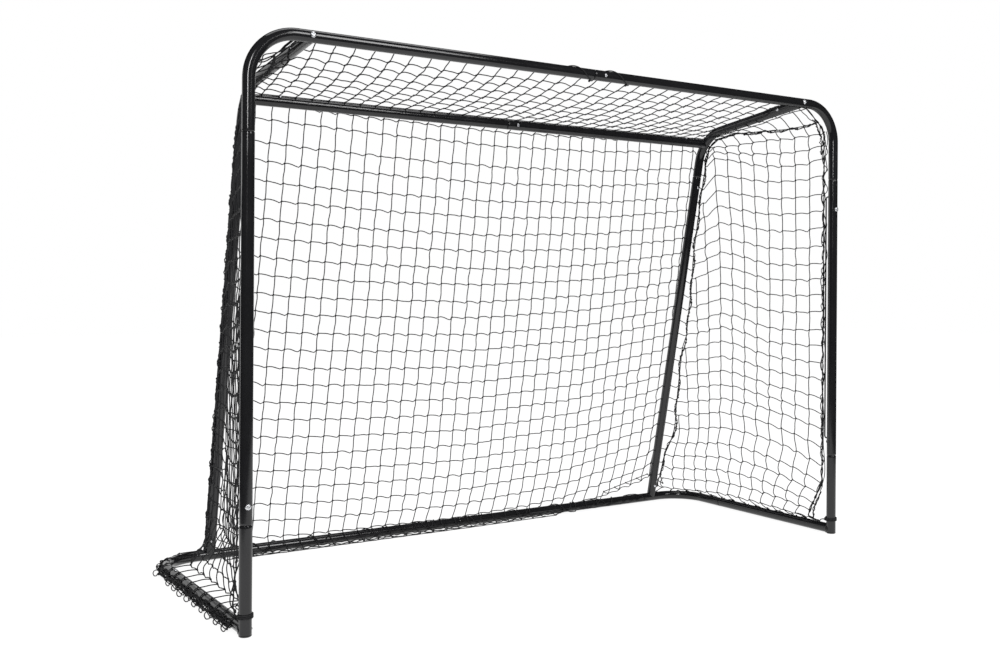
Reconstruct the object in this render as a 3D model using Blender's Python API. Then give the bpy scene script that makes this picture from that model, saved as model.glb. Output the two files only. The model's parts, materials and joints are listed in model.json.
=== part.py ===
"""Floorball goal: a bolted frame of sleeved round steel tube with a laced square-mesh net.

Metres, +Z up, +X to the right of someone who stands in front of the mouth and looks into it,
+Y from the mouth to the back. The pieces are modelled with Y = 0 on the axis of the crossbar
and stand under one empty that moves the origin to the bottom centre of the whole goal.
"""
import math

import bmesh
import bpy
from mathutils import Matrix, Vector

# Mouth and depth, in metres
MOUTH_WIDTH = 1.600
MOUTH_HEIGHT = 1.150
BASE_DEPTH = 0.627
SHOULDER_DEPTH = 0.393
SHOULDER_HEIGHT = 1.113
SIDE_FRAME_INSET = 0.1245
REAR_BAR_ANGLE = math.radians(42.7)

# Tube, sleeves and bends
TUBE_RADIUS = 0.0125
TUBE_WALL = 0.0015
CLEARANCE = 0.0003
NECK_LENGTH = 0.002
CORNER_BEND = 0.096
SHOULDER_BEND = 0.108
TUBE_SIDES = 16
BEND_STEPS = 7
SHARP_EDGE_ANGLE = math.radians(35)

# Seams between sleeved tubes
UPPER_SEAM_DROP = 0.1985
LOWER_SEAM_HEIGHT = 0.213
BASE_SEAM_DEPTH = 0.440
STAY_SEAM_HEIGHT = 0.995
CROSSBAR_SLEEVE = 0.060
UPPER_POST_SLEEVE = 0.100
LOWER_POST_SLEEVE = 0.060
BASE_SLEEVE = 0.060
STAY_SLEEVE = 0.060
STAY_FOOT_SLEEVE = 0.058
REAR_BAR_SLEEVE = 0.096
ARM_SLEEVE = 0.105
ARM_PLUG_LENGTH = 0.030

# Fasteners, each placed by its distance from the seam that it locks
SEAM_TO_SCREW = 0.029
UPPER_SEAM_TO_BOLT = 0.080
LOWER_SEAM_TO_BOLT = 0.036
ARM_SCREW_DEPTH = 0.076
REAR_BAR_SCREW_FROM_ARM = 0.078
REAR_BAR_SCREW_ANGLE = math.radians(60)
STAY_FOOT_TO_SCREW = 0.040
BOLT_RADIUS = 0.0030
BOLT_HEAD_RADIUS = 0.0062
BOLT_HEAD_HEIGHT = 0.0034
BOLT_SIDES = 12
POST_BOLT_LENGTH = 0.0110
ARM_BOLT_LENGTH = 0.0420
NUT_RADIUS = 0.0052
NUT_THICKNESS = 0.0048
NUT_SIDES = 6
SCREW_RADIUS = 0.0019
SCREW_HEAD_RADIUS = 0.0040
SCREW_HEAD_HEIGHT = 0.0022
SCREW_LENGTH = 0.0075
SCREW_SIDES = 10
DRILL_SIDES = 10

# Crown of each kind of head, as shares of (its height, its radius) from the top to the seat
BOLT_CROWN = ((1.00, 0), (0.92, 0.52), (0.50, 0.90), (0, 1.00))
SCREW_CROWN = ((1.00, 0), (0.70, 0.72), (0, 1.00))

# End caps of the posts
CAP_FLANGE = 0.0030
CAP_STEM = 0.0120
CAP_WALL = 0.0020
CAP_CHAMFER = 0.0013

# Net rods welded behind the posts and the crossbar
ROD_RADIUS = 0.0020
ROD_STANDOFF = 0.0240
ROD_SIDES = 6
ROD_END_MARGIN = 0.045
CROSSBAR_ROD_START = 0.150

# Net and lacing
STRAND_WIDTH = 0.0032
STRAND_THICKNESS = 0.0024
CORD_RADIUS = 0.0012
CORD_SIDES = 5
NET_COLUMNS_ACROSS = 10
NET_ROWS_BACK = 8
NET_ROWS_TOP = 3
NET_COLUMNS_SIDE = 4
NET_ROWS_SIDE = 9
NET_EDGE_BEHIND_FRAME = 0.046
NET_TANGENT_STEP = 0.001
SIDE_NET_BULGE = 0.012
SIDE_NET_LAY_ANGLE = math.radians(35)
SIDE_NET_EDGE_STEPS = 12
POST_LAY_ANGLE = math.radians(45)
POST_LACING_PITCH = 0.088
CROSSBAR_LACING_PITCH = 0.086
BASE_LACING_PITCH = 0.150
BASE_LACING_SWING = math.radians(118)
BASE_LACING_STEPS = 6
WRAP_STEPS = 12
CROSSBAR_WRAP_START = -0.0775
CROSSBAR_WRAP_TURNS = 2
CROSSBAR_WRAP_PITCH = 0.106
FOOT_TIE_HEIGHT = 0.036
FOOT_TIE_TURNS = 2

# Axes of the tubes, worked out from the sizes above
POST_X = MOUTH_WIDTH / 2 + TUBE_RADIUS
SIDE_FRAME_X = POST_X - SIDE_FRAME_INSET
CROSSBAR_Z = MOUTH_HEIGHT + TUBE_RADIUS
UPPER_SEAM_HEIGHT = CROSSBAR_Z - UPPER_SEAM_DROP
BASE_Z = TUBE_RADIUS
BORE_RADIUS = TUBE_RADIUS - TUBE_WALL
SPIGOT_RADIUS = BORE_RADIUS - CLEARANCE
SPIGOT_BORE = SPIGOT_RADIUS - TUBE_WALL
WELD_DEPTH = TUBE_WALL / 2
RUNNER_START = TUBE_RADIUS / 4
COPE_REACH = 3 * TUBE_RADIUS
LACING_RADIUS = ((TUBE_RADIUS + CLEARANCE + CORD_RADIUS)
                 / math.cos(BASE_LACING_SWING / BASE_LACING_STEPS))
LACED_EDGE = LACING_RADIUS + CORD_RADIUS + CLEARANCE + STRAND_WIDTH / 2
NET_LIFT = TUBE_RADIUS + CLEARANCE + STRAND_THICKNESS / 2
CREASE_MARGIN = 0.75 * (STRAND_WIDTH + CLEARANCE)
NET_HALF_WIDTH = (SIDE_FRAME_X - TUBE_RADIUS - SCREW_HEAD_HEIGHT - 2 * CLEARANCE
                  - STRAND_WIDTH / 2)

LEFT = -1
RIGHT = 1
SIDES = ((LEFT, "left"), (RIGHT, "right"))
X_AXIS = Vector((1, 0, 0))
Y_AXIS = Vector((0, 1, 0))
Z_AXIS = Vector((0, 0, 1))


def clear_scene():
    """Remove every object of the open file."""
    for item in list(bpy.data.objects):
        bpy.data.objects.remove(item, do_unlink=True)


def finish(name, colour, metallic, roughness):
    """Make a Principled material from a linear colour."""
    material = bpy.data.materials.new(name)
    material.use_nodes = True
    shader = material.node_tree.nodes["Principled BSDF"]
    shader.inputs["Base Color"].default_value = (*colour, 1.0)
    shader.inputs["Metallic"].default_value = metallic
    shader.inputs["Roughness"].default_value = roughness
    material.diffuse_color = (*colour, 1.0)
    return material


def black_powder_coat(node):
    return finish(node + " powder coat", (0.013, 0.013, 0.015), 0.0, 0.28)


def zinc_plate(node):
    return finish(node + " zinc plate", (0.62, 0.63, 0.65), 1.0, 0.30)


def black_plastic(node):
    return finish(node + " plastic", (0.018, 0.018, 0.019), 0.0, 0.45)


def black_twine(node):
    return finish(node + " twine", (0.012, 0.012, 0.013), 0.0, 0.85)


def add_object(name, mesh_data, material_maker, parent):
    """Put a bmesh into the scene as one smooth-shaded named object."""
    mesh = bpy.data.meshes.new(name)
    bmesh.ops.recalc_face_normals(mesh_data, faces=mesh_data.faces)
    mesh_data.to_mesh(mesh)
    mesh_data.free()
    mesh.shade_smooth()
    mesh.set_sharp_from_angle(angle=SHARP_EDGE_ANGLE)
    item = bpy.data.objects.new(name, mesh)
    bpy.context.scene.collection.objects.link(item)
    item.parent = parent
    if material_maker:
        mesh.materials.append(material_maker(name))
    return item


def hide_tool(item):
    """Mark a cutter or an added shape as a helper that is not a piece."""
    item.hide_render = True
    item.display_type = "WIRE"
    return item


def combine(item, tool, operation):
    """Add a Boolean modifier that cuts a helper away or joins it on."""
    modifier = item.modifiers.new(operation.lower() + " " + tool.name, "BOOLEAN")
    modifier.operation = operation
    modifier.solver = "EXACT"
    modifier.object = hide_tool(tool)


def route(corners, bend_radius, steps=BEND_STEPS):
    """Centre line through the corners, each inner corner rounded to an arc."""
    corners = [Vector(corner) for corner in corners]
    points = [corners[0]]
    for before, corner, after in zip(corners, corners[1:], corners[2:]):
        back = (before - corner).normalized()
        ahead = (after - corner).normalized()
        half = back.angle(ahead) / 2
        centre = corner + (back + ahead).normalized() * bend_radius / math.sin(half)
        start = corner + back * bend_radius / math.tan(half)
        spoke = start - centre
        axis = back.cross(ahead).normalized()
        turn = math.pi - 2 * half
        for step in range(steps + 1):
            points.append(centre + Matrix.Rotation(-turn * step / steps, 3, axis) @ spoke)
    points.append(corners[-1])
    return points


def along(points, distance):
    """Point at a distance from the start of a centre line."""
    for start, end in zip(points, points[1:]):
        length = (end - start).length
        if distance <= length:
            return start.lerp(end, distance / length)
        distance -= length
    return points[-1].copy()


def path_length(points):
    return sum((end - start).length for start, end in zip(points, points[1:]))


def tangents(points):
    """Unit direction at each point of a centre line, halfway between its two runs."""
    runs = [(end - start).normalized() for start, end in zip(points, points[1:])]
    joined = [(one + two).normalized() for one, two in zip(runs, runs[1:])]
    return [runs[0]] + joined + [runs[-1]]


def ring(mesh, centre, across, up, radius, sides):
    """Circle of vertices round a centre, the first one towards `across`."""
    corners = []
    for step in range(sides):
        angle = 2 * math.pi * step / sides
        offset = across * math.cos(angle) + up * math.sin(angle)
        corners.append(mesh.verts.new(centre + offset * radius))
    return corners


def bridge(mesh, first, second):
    """Quads between two rings of equal count."""
    count = len(first)
    for step in range(count):
        after = (step + 1) % count
        mesh.faces.new((first[step], first[after], second[after], second[step]))


def tube_mesh(points, up, outer, inner, sides=TUBE_SIDES):
    """Hollow tube along a flat centre line, with a radius for each of its points."""
    mesh = bmesh.new()
    outer_rings = []
    inner_rings = []
    for point, direction, big, small in zip(points, tangents(points), outer, inner):
        across = up.cross(direction).normalized()
        outer_rings.append(ring(mesh, point, across, up, big, sides))
        inner_rings.append(ring(mesh, point, across, up, small, sides))
    for rings in (outer_rings, inner_rings):
        for first, second in zip(rings, rings[1:]):
            bridge(mesh, first, second)
    bridge(mesh, outer_rings[0], inner_rings[0])
    bridge(mesh, outer_rings[-1], inner_rings[-1])
    return mesh


def rod_mesh(points, radius, sides, up=None):
    """Solid rod along a centre line, its rings turned as little as possible."""
    mesh = bmesh.new()
    directions = tangents(points)
    across = up.cross(directions[0]) if up else directions[0].orthogonal()
    rings = []
    for point, direction in zip(points, directions):
        across = (across - direction * across.dot(direction)).normalized()
        rings.append(ring(mesh, point, across, direction.cross(across), radius, sides))
    for first, second in zip(rings, rings[1:]):
        bridge(mesh, first, second)
    mesh.faces.new(rings[0])
    mesh.faces.new(rings[-1])
    return mesh


def turned_mesh(profile, origin, axis, sides):
    """Solid of revolution from (distance along the axis, radius) pairs; radius 0 is a pole."""
    mesh = bmesh.new()
    across = axis.orthogonal().normalized()
    up = axis.cross(across).normalized()
    rings = []
    for distance, radius in profile:
        centre = origin + axis * distance
        if radius == 0:
            rings.append([mesh.verts.new(centre)])
        else:
            rings.append(ring(mesh, centre, across, up, radius, sides))
    closed = len(rings[0]) > 1
    pairs = list(zip(rings, rings[1:]))
    if closed:
        pairs.append((rings[-1], rings[0]))
    for first, second in pairs:
        if len(first) == 1 or len(second) == 1:
            pole, rim = (first[0], second) if len(first) == 1 else (second[0], first)
            for step in range(sides):
                mesh.faces.new((pole, rim[step], rim[(step + 1) % sides]))
        else:
            bridge(mesh, first, second)
    return mesh


def sleeved_tube(name, points, up, parent, start_sleeve=0.0, end_sleeve=0.0):
    """Tube whose ends may be necked down to slide into the next tube.

    The centre line ends at the seams. A neck tapers just short of its seam, and its sleeve
    goes on past it.
    """
    points = [point.copy() for point in points]
    outer = [TUBE_RADIUS] * len(points)
    inner = [BORE_RADIUS] * len(points)
    if start_sleeve:
        back = (points[0] - points[1]).normalized()
        seam = points[0]
        points = [seam + back * start_sleeve, seam, seam - back * NECK_LENGTH] + points[1:]
        outer = [SPIGOT_RADIUS] * 2 + outer
        inner = [SPIGOT_BORE] * 2 + inner
    if end_sleeve:
        ahead = (points[-1] - points[-2]).normalized()
        seam = points[-1]
        points = points[:-1] + [seam - ahead * NECK_LENGTH, seam, seam + ahead * end_sleeve]
        outer = outer + [SPIGOT_RADIUS] * 2
        inner = inner + [SPIGOT_BORE] * 2
    return add_object(name, tube_mesh(points, up, outer, inner), black_powder_coat, parent)


def open_end(points):
    """Pull both ends of a plain tube back by the seam clearance."""
    points = [point.copy() for point in points]
    points[0] += (points[1] - points[0]).normalized() * CLEARANCE
    points[-1] += (points[-2] - points[-1]).normalized() * CLEARANCE
    return points


def clear_start(points):
    """Pull only the first end back by the seam clearance."""
    points = [point.copy() for point in points]
    points[0] += (points[1] - points[0]).normalized() * CLEARANCE
    return points


def drill(item, centre, direction, radius, depth, parent):
    """Round hole that starts outside a tube and runs inwards along `direction`."""
    outside = centre - direction * (TUBE_RADIUS + BOLT_HEAD_HEIGHT)
    points = [outside, outside + direction * depth]
    tool = add_object("drill for " + item.name, rod_mesh(points, radius, DRILL_SIDES), None,
                      parent)
    combine(item, tool, "DIFFERENCE")


def drill_wall(item, centre, direction, radius, parent):
    """Hole through one wall only, as far as the axis of the tube."""
    drill(item, centre, direction, radius, TUBE_RADIUS + BOLT_HEAD_HEIGHT, parent)


def cope(item, points, up, parent):
    """Cut a tube's end to the round of the tube that it meets, with the usual clearance."""
    tool = add_object("cope for " + item.name,
                      rod_mesh(points, TUBE_RADIUS + CLEARANCE, TUBE_SIDES, up), None, parent)
    combine(item, tool, "DIFFERENCE")


def crossing(centre):
    """Short piece of a cross tube's axis, either side of the point where another tube meets it."""
    return [centre - X_AXIS * COPE_REACH, centre + X_AXIS * COPE_REACH]


def add_net_rod(item, first, last, parent):
    """Thin rod behind a tube, its ends bent in and welded to the tube."""
    root = Y_AXIS * (TUBE_RADIUS - WELD_DEPTH)
    crown = Y_AXIS * ROD_STANDOFF
    points = [first + root, first + crown, last + crown, last + root]
    tool = add_object("net rod of " + item.name, rod_mesh(points, ROD_RADIUS, ROD_SIDES), None,
                      parent)
    combine(item, tool, "UNION")
    middle = (first + last) / 2
    stud = [middle + root, middle + crown - Y_AXIS * ROD_RADIUS / 2]
    tool = add_object("rod stud of " + item.name, rod_mesh(stud, ROD_RADIUS, ROD_SIDES), None,
                      parent)
    combine(item, tool, "UNION")


def crown(shares, height, radius):
    """Profile of a head from its top down to its seat."""
    return [(-height * up, radius * out) for up, out in shares]


def add_bolt(name, centre, direction, length, parent):
    """Button-head bolt seated on a tube; `direction` points from the head into the tube."""
    seat = centre - direction * (TUBE_RADIUS + CLEARANCE)
    profile = crown(BOLT_CROWN, BOLT_HEAD_HEIGHT, BOLT_HEAD_RADIUS)
    profile += [(0, BOLT_RADIUS), (length, BOLT_RADIUS), (length, 0)]
    return add_object(name, turned_mesh(profile, seat, direction, BOLT_SIDES), zinc_plate, parent)


def add_nut(name, centre, direction, parent):
    """Hexagon weld nut inside a sleeve, under its wall."""
    flat = SPIGOT_BORE * math.cos(math.pi / TUBE_SIDES)
    face = math.sqrt(flat ** 2 - NUT_RADIUS ** 2) - CLEARANCE
    seat = centre - direction * face
    hole = (BOLT_RADIUS + CLEARANCE) / math.cos(math.pi / NUT_SIDES)
    profile = [(0, NUT_RADIUS), (NUT_THICKNESS, NUT_RADIUS), (NUT_THICKNESS, hole), (0, hole)]
    return add_object(name, turned_mesh(profile, seat, direction, NUT_SIDES), zinc_plate, parent)


def add_screw(name, centre, direction, parent):
    """Small pan-head screw seated on a tube."""
    seat = centre - direction * (TUBE_RADIUS + CLEARANCE)
    profile = crown(SCREW_CROWN, SCREW_HEAD_HEIGHT, SCREW_HEAD_RADIUS)
    profile += [(0, SCREW_RADIUS), (SCREW_LENGTH - SCREW_RADIUS, SCREW_RADIUS), (SCREW_LENGTH, 0)]
    return add_object(name, turned_mesh(profile, seat, direction, SCREW_SIDES), zinc_plate, parent)


def lock_with_screw(name, pieces, centre, direction, parent):
    """Screw through the walls of two sleeved tubes, with a clear hole in each."""
    for piece in pieces:
        drill_wall(piece, centre, direction, SCREW_RADIUS + CLEARANCE, parent)
    return add_screw(name, centre, direction, parent)


def lock_with_bolt(label, pieces, centre, direction, parent):
    """Bolt through two sleeved walls into the weld nut behind them."""
    for piece in pieces:
        drill_wall(piece, centre, direction, BOLT_RADIUS + CLEARANCE, parent)
    add_bolt(label.format("bolt"), centre, direction, POST_BOLT_LENGTH, parent)
    add_nut(label.format("nut"), centre, direction, parent)


def crossbar_route(side):
    """From the centre seam, round the upper corner, down to the upper post seam."""
    return route([(0, 0, CROSSBAR_Z), (side * POST_X, 0, CROSSBAR_Z),
                  (side * POST_X, 0, UPPER_SEAM_HEIGHT)], CORNER_BEND)


def side_route(side):
    """From the crossbar's axis along the top arm and the shoulder down to the rear base bar."""
    x = side * SIDE_FRAME_X
    return route([(x, 0, CROSSBAR_Z), (x, SHOULDER_DEPTH, SHOULDER_HEIGHT),
                  (x, BASE_DEPTH, BASE_Z)], SHOULDER_BEND)


def base_route(side):
    """From the base seam, round the rear corner, to the centre seam of the rear base bar."""
    return route([(side * POST_X, BASE_SEAM_DEPTH, BASE_Z), (side * POST_X, BASE_DEPTH, BASE_Z),
                  (0, BASE_DEPTH, BASE_Z)], CORNER_BEND)


def arm_direction():
    return Vector((0, SHOULDER_DEPTH, SHOULDER_HEIGHT - CROSSBAR_Z)).normalized()


def stay_direction():
    """Unit vector up the rear stay, from its foot to the shoulder."""
    return Vector((0, SHOULDER_DEPTH - BASE_DEPTH, SHOULDER_HEIGHT - BASE_Z)).normalized()


def shoulder_centre():
    """Centre of the shoulder's bend in the plane of the side frame, as (y, z)."""
    corner = Vector((0, SHOULDER_DEPTH, SHOULDER_HEIGHT))
    back = -arm_direction()
    ahead = -stay_direction()
    half = back.angle(ahead) / 2
    return corner + (back + ahead).normalized() * SHOULDER_BEND / math.sin(half)


def rear_bar_axis():
    """Point on the rear crossbar's axis, in the middle plane of the goal."""
    spoke = Vector((0, math.cos(REAR_BAR_ANGLE), math.sin(REAR_BAR_ANGLE)))
    return shoulder_centre() + spoke * SHOULDER_BEND


def stay_point(height, x):
    """Point on the axis of a rear stay at a given height."""
    slope = stay_direction()
    return Vector((x, BASE_DEPTH, BASE_Z)) + slope * ((height - BASE_Z) / slope.z)


def make_crossbars(parent):
    """Two halves of the crossbar, each with its corner bend and the top of its post."""
    pieces = {}
    for side, word in SIDES:
        line = crossbar_route(side)
        centre_sleeve = CROSSBAR_SLEEVE if side == LEFT else 0.0
        if side == RIGHT:
            line = clear_start(line)
        piece = sleeved_tube("crossbar_" + word, line, Y_AXIS, parent,
                             start_sleeve=centre_sleeve, end_sleeve=UPPER_POST_SLEEVE)
        first = Vector((side * CROSSBAR_ROD_START, 0, CROSSBAR_Z))
        last = Vector((side * (SIDE_FRAME_X - ROD_END_MARGIN), 0, CROSSBAR_Z))
        add_net_rod(piece, first, last, parent)
        pieces[side] = piece
    lock_with_screw("crossbar_screw", pieces.values(), Vector((SEAM_TO_SCREW, 0, CROSSBAR_Z)),
                    Y_AXIS, parent)
    return pieces


def make_posts(parent):
    """Middle tubes of the posts, plain at both ends, with the net rod behind."""
    pieces = {}
    for side, word in SIDES:
        x = side * POST_X
        line = [Vector((x, 0, UPPER_SEAM_HEIGHT)), Vector((x, 0, LOWER_SEAM_HEIGHT))]
        piece = sleeved_tube("post_" + word, open_end(line), Y_AXIS, parent)
        add_net_rod(piece, Vector((x, 0, UPPER_SEAM_HEIGHT - ROD_END_MARGIN)),
                    Vector((x, 0, LOWER_SEAM_HEIGHT + ROD_END_MARGIN)), parent)
        pieces[side] = piece
    return pieces


def make_feet(parent):
    """Foot of each post with the base side tube welded to its back, and the post's end cap."""
    pieces = {}
    for side, word in SIDES:
        x = side * POST_X
        foot = Vector((x, 0, CAP_FLANGE + CLEARANCE))
        seam = Vector((x, 0, LOWER_SEAM_HEIGHT))
        rear = Vector((x, BASE_SEAM_DEPTH, BASE_Z))
        weld = Vector((x, RUNNER_START, BASE_Z))
        name = "foot_" + word
        piece = sleeved_tube(name, [foot, seam], Y_AXIS, parent, end_sleeve=LOWER_POST_SLEEVE)
        runner_line = [weld, rear - Y_AXIS * NECK_LENGTH, rear, rear + Y_AXIS * BASE_SLEEVE]
        radii = [TUBE_RADIUS, TUBE_RADIUS, SPIGOT_RADIUS, SPIGOT_RADIUS]
        bores = [BORE_RADIUS, BORE_RADIUS, SPIGOT_BORE, SPIGOT_BORE]
        runner = add_object("runner of " + name, tube_mesh(runner_line, Z_AXIS, radii, bores),
                            None, parent)
        combine(runner, add_object("saddle of " + name,
                                   rod_mesh([foot - Z_AXIS * TUBE_RADIUS, seam],
                                            TUBE_RADIUS - WELD_DEPTH, TUBE_SIDES, Y_AXIS),
                                   None, parent), "DIFFERENCE")
        combine(piece, runner, "UNION")
        room = [Vector((x, 0, -TUBE_RADIUS)), Vector((x, 0, CAP_FLANGE + CLEARANCE))]
        combine(piece, add_object("cap room of " + name,
                                  rod_mesh(room, TUBE_RADIUS + CLEARANCE, TUBE_SIDES, Y_AXIS),
                                  None, parent), "DIFFERENCE")
        pieces[side] = piece
        add_cap("foot_cap_" + word, Vector((x, 0, 0)), parent)
    return pieces


def add_cap(name, ground, parent):
    """Plastic plug that closes the bottom of a post and stands on the floor."""
    profile = [(0, 0),
               (0, TUBE_RADIUS - CAP_CHAMFER),
               (CAP_CHAMFER, TUBE_RADIUS),
               (CAP_FLANGE, TUBE_RADIUS),
               (CAP_FLANGE, SPIGOT_RADIUS),
               (CAP_FLANGE + CAP_STEM, SPIGOT_RADIUS),
               (CAP_FLANGE + CAP_STEM, SPIGOT_RADIUS - CAP_WALL),
               (CAP_FLANGE, SPIGOT_RADIUS - CAP_WALL),
               (CAP_FLANGE, 0)]
    return add_object(name, turned_mesh(profile, ground, Z_AXIS, TUBE_SIDES), black_plastic, parent)


def make_base_corners(parent):
    """Rear base corners with half of the rear base bar and the socket stub of the stay."""
    pieces = {}
    for side, word in SIDES:
        line = clear_start(base_route(side))
        if side == RIGHT:
            line = open_end(base_route(side))
        piece = sleeved_tube("base_corner_" + word, line, Z_AXIS, parent,
                             end_sleeve=BASE_SLEEVE if side == LEFT else 0.0)
        bar = Vector((side * SIDE_FRAME_X, BASE_DEPTH, BASE_Z))
        stub = [bar + stay_direction() * (TUBE_RADIUS - WELD_DEPTH),
                bar + stay_direction() * (TUBE_RADIUS + STAY_FOOT_SLEEVE)]
        tool = add_object("stay stub of " + piece.name,
                          rod_mesh(stub, SPIGOT_RADIUS, TUBE_SIDES, X_AXIS), None, parent)
        combine(piece, tool, "UNION")
        pieces[side] = piece
    lock_with_screw("base_screw_centre", pieces.values(),
                    Vector((SEAM_TO_SCREW, BASE_DEPTH, BASE_Z)), -Z_AXIS, parent)
    return pieces


def make_side_frames(parent, corners):
    """Top arms with the shoulder bend, rear stays, and the spigots that carry the arms."""
    arms = {}
    seam_point = stay_point(STAY_SEAM_HEIGHT, 0)
    for side, word in SIDES:
        x = side * SIDE_FRAME_X
        line = side_route(side)[:-1]
        line.append(Vector((x, seam_point.y, seam_point.z)))
        arm = sleeved_tube("top_arm_" + word, line, X_AXIS, parent, end_sleeve=STAY_SLEEVE)
        cope(arm, crossing(Vector((x, 0, CROSSBAR_Z))), Y_AXIS, parent)
        bar = rear_bar_axis() + X_AXIS * x
        stub = [bar - X_AXIS * side * (TUBE_RADIUS - WELD_DEPTH),
                bar - X_AXIS * side * REAR_BAR_SLEEVE]
        combine(arm, add_object("rear bar stub of " + arm.name,
                                rod_mesh(stub, SPIGOT_RADIUS, TUBE_SIDES, Y_AXIS), None, parent),
                "UNION")
        foot = Vector((x, BASE_DEPTH, BASE_Z))
        top = Vector((x, seam_point.y, seam_point.z)) - stay_direction() * CLEARANCE
        stay = sleeved_tube("rear_stay_" + word, [foot, top], X_AXIS, parent)
        cope(stay, crossing(foot), Y_AXIS, parent)
        lock_with_screw("stay_screw_upper_" + word, (arm, stay),
                        top - stay_direction() * SEAM_TO_SCREW, in_from_mouth(), parent)
        lock_with_screw("stay_screw_lower_" + word, (corners[side], stay),
                        foot + stay_direction() * STAY_FOOT_TO_SCREW, in_from_mouth(), parent)
        arms[side] = arm
    return arms


def in_from_mouth():
    """Direction in which a screw enters a stay, square to it, from the mouth's side."""
    return stay_direction().cross(X_AXIS).normalized()


def make_arm_spigots(parent, arms, crossbars):
    """Plugged spigot inside each arm's front end, held to the crossbar by a long bolt."""
    for side, word in SIDES:
        start = Vector((side * SIDE_FRAME_X, 0, CROSSBAR_Z))
        hole = BOLT_RADIUS + CLEARANCE
        plug_end = TUBE_RADIUS + ARM_PLUG_LENGTH
        profile = [(0, SPIGOT_RADIUS), (ARM_SLEEVE, SPIGOT_RADIUS), (ARM_SLEEVE, SPIGOT_BORE),
                   (plug_end, SPIGOT_BORE), (plug_end, hole), (0, hole)]
        name = "arm_spigot_" + word
        spigot = add_object(name, turned_mesh(profile, start, arm_direction(), TUBE_SIDES),
                            zinc_plate, parent)
        cope(spigot, crossing(start), Y_AXIS, parent)
        through_both_walls = 2 * (TUBE_RADIUS + BOLT_HEAD_HEIGHT)
        drill(crossbars[side], start, arm_direction(), hole, through_both_walls, parent)
        add_bolt("arm_bolt_" + word, start, arm_direction(), ARM_BOLT_LENGTH, parent)
        screw_at = start + arm_direction() * (ARM_SCREW_DEPTH / arm_direction().y)
        lock_with_screw("arm_screw_" + word, (arms[side], spigot), screw_at, X_AXIS, parent)


def make_rear_crossbars(parent, arms):
    """Two halves of the rear crossbar, sleeved together and pushed over the arms' stubs."""
    axis = rear_bar_axis()
    pieces = {}
    for side, word in SIDES:
        x = side * SIDE_FRAME_X
        line = [axis + X_AXIS * x, Vector(axis)]
        if side == RIGHT:
            line = [line[0], line[1] + X_AXIS * CLEARANCE]
        piece = sleeved_tube("rear_crossbar_" + word, line, Y_AXIS, parent,
                             end_sleeve=CROSSBAR_SLEEVE if side == LEFT else 0.0)
        cope(piece, side_route(side), X_AXIS, parent)
        inward = Vector((0, math.cos(REAR_BAR_SCREW_ANGLE), -math.sin(REAR_BAR_SCREW_ANGLE)))
        lock_with_screw("rear_crossbar_screw_" + word, (arms[side], piece),
                        line[0] - X_AXIS * side * REAR_BAR_SCREW_FROM_ARM, inward, parent)
        pieces[side] = piece
    lock_with_screw("rear_crossbar_screw_centre", pieces.values(), axis + X_AXIS * SEAM_TO_SCREW,
                    Y_AXIS, parent)
    return pieces


def lock_posts(parent, crossbars, posts, feet):
    """Bolts of the post seams: one faces the front on each post, the other faces the back."""
    for side, word in SIDES:
        x = side * POST_X
        upper = Vector((x, 0, UPPER_SEAM_HEIGHT - UPPER_SEAM_TO_BOLT))
        lower = Vector((x, 0, LOWER_SEAM_HEIGHT + LOWER_SEAM_TO_BOLT))
        lock_with_bolt("upper_{}_" + word, (crossbars[side], posts[side]), upper,
                       Y_AXIS if side == RIGHT else -Y_AXIS, parent)
        lock_with_bolt("lower_{}_" + word, (feet[side], posts[side]), lower,
                       Y_AXIS if side == LEFT else -Y_AXIS, parent)


def lock_base(parent, feet, corners):
    """Screws from above at the seams of the base side tubes."""
    for side, word in SIDES:
        centre = Vector((side * POST_X, BASE_SEAM_DEPTH + SEAM_TO_SCREW, BASE_Z))
        lock_with_screw("base_screw_" + word, (feet[side], corners[side]), centre, -Z_AXIS, parent)


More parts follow.
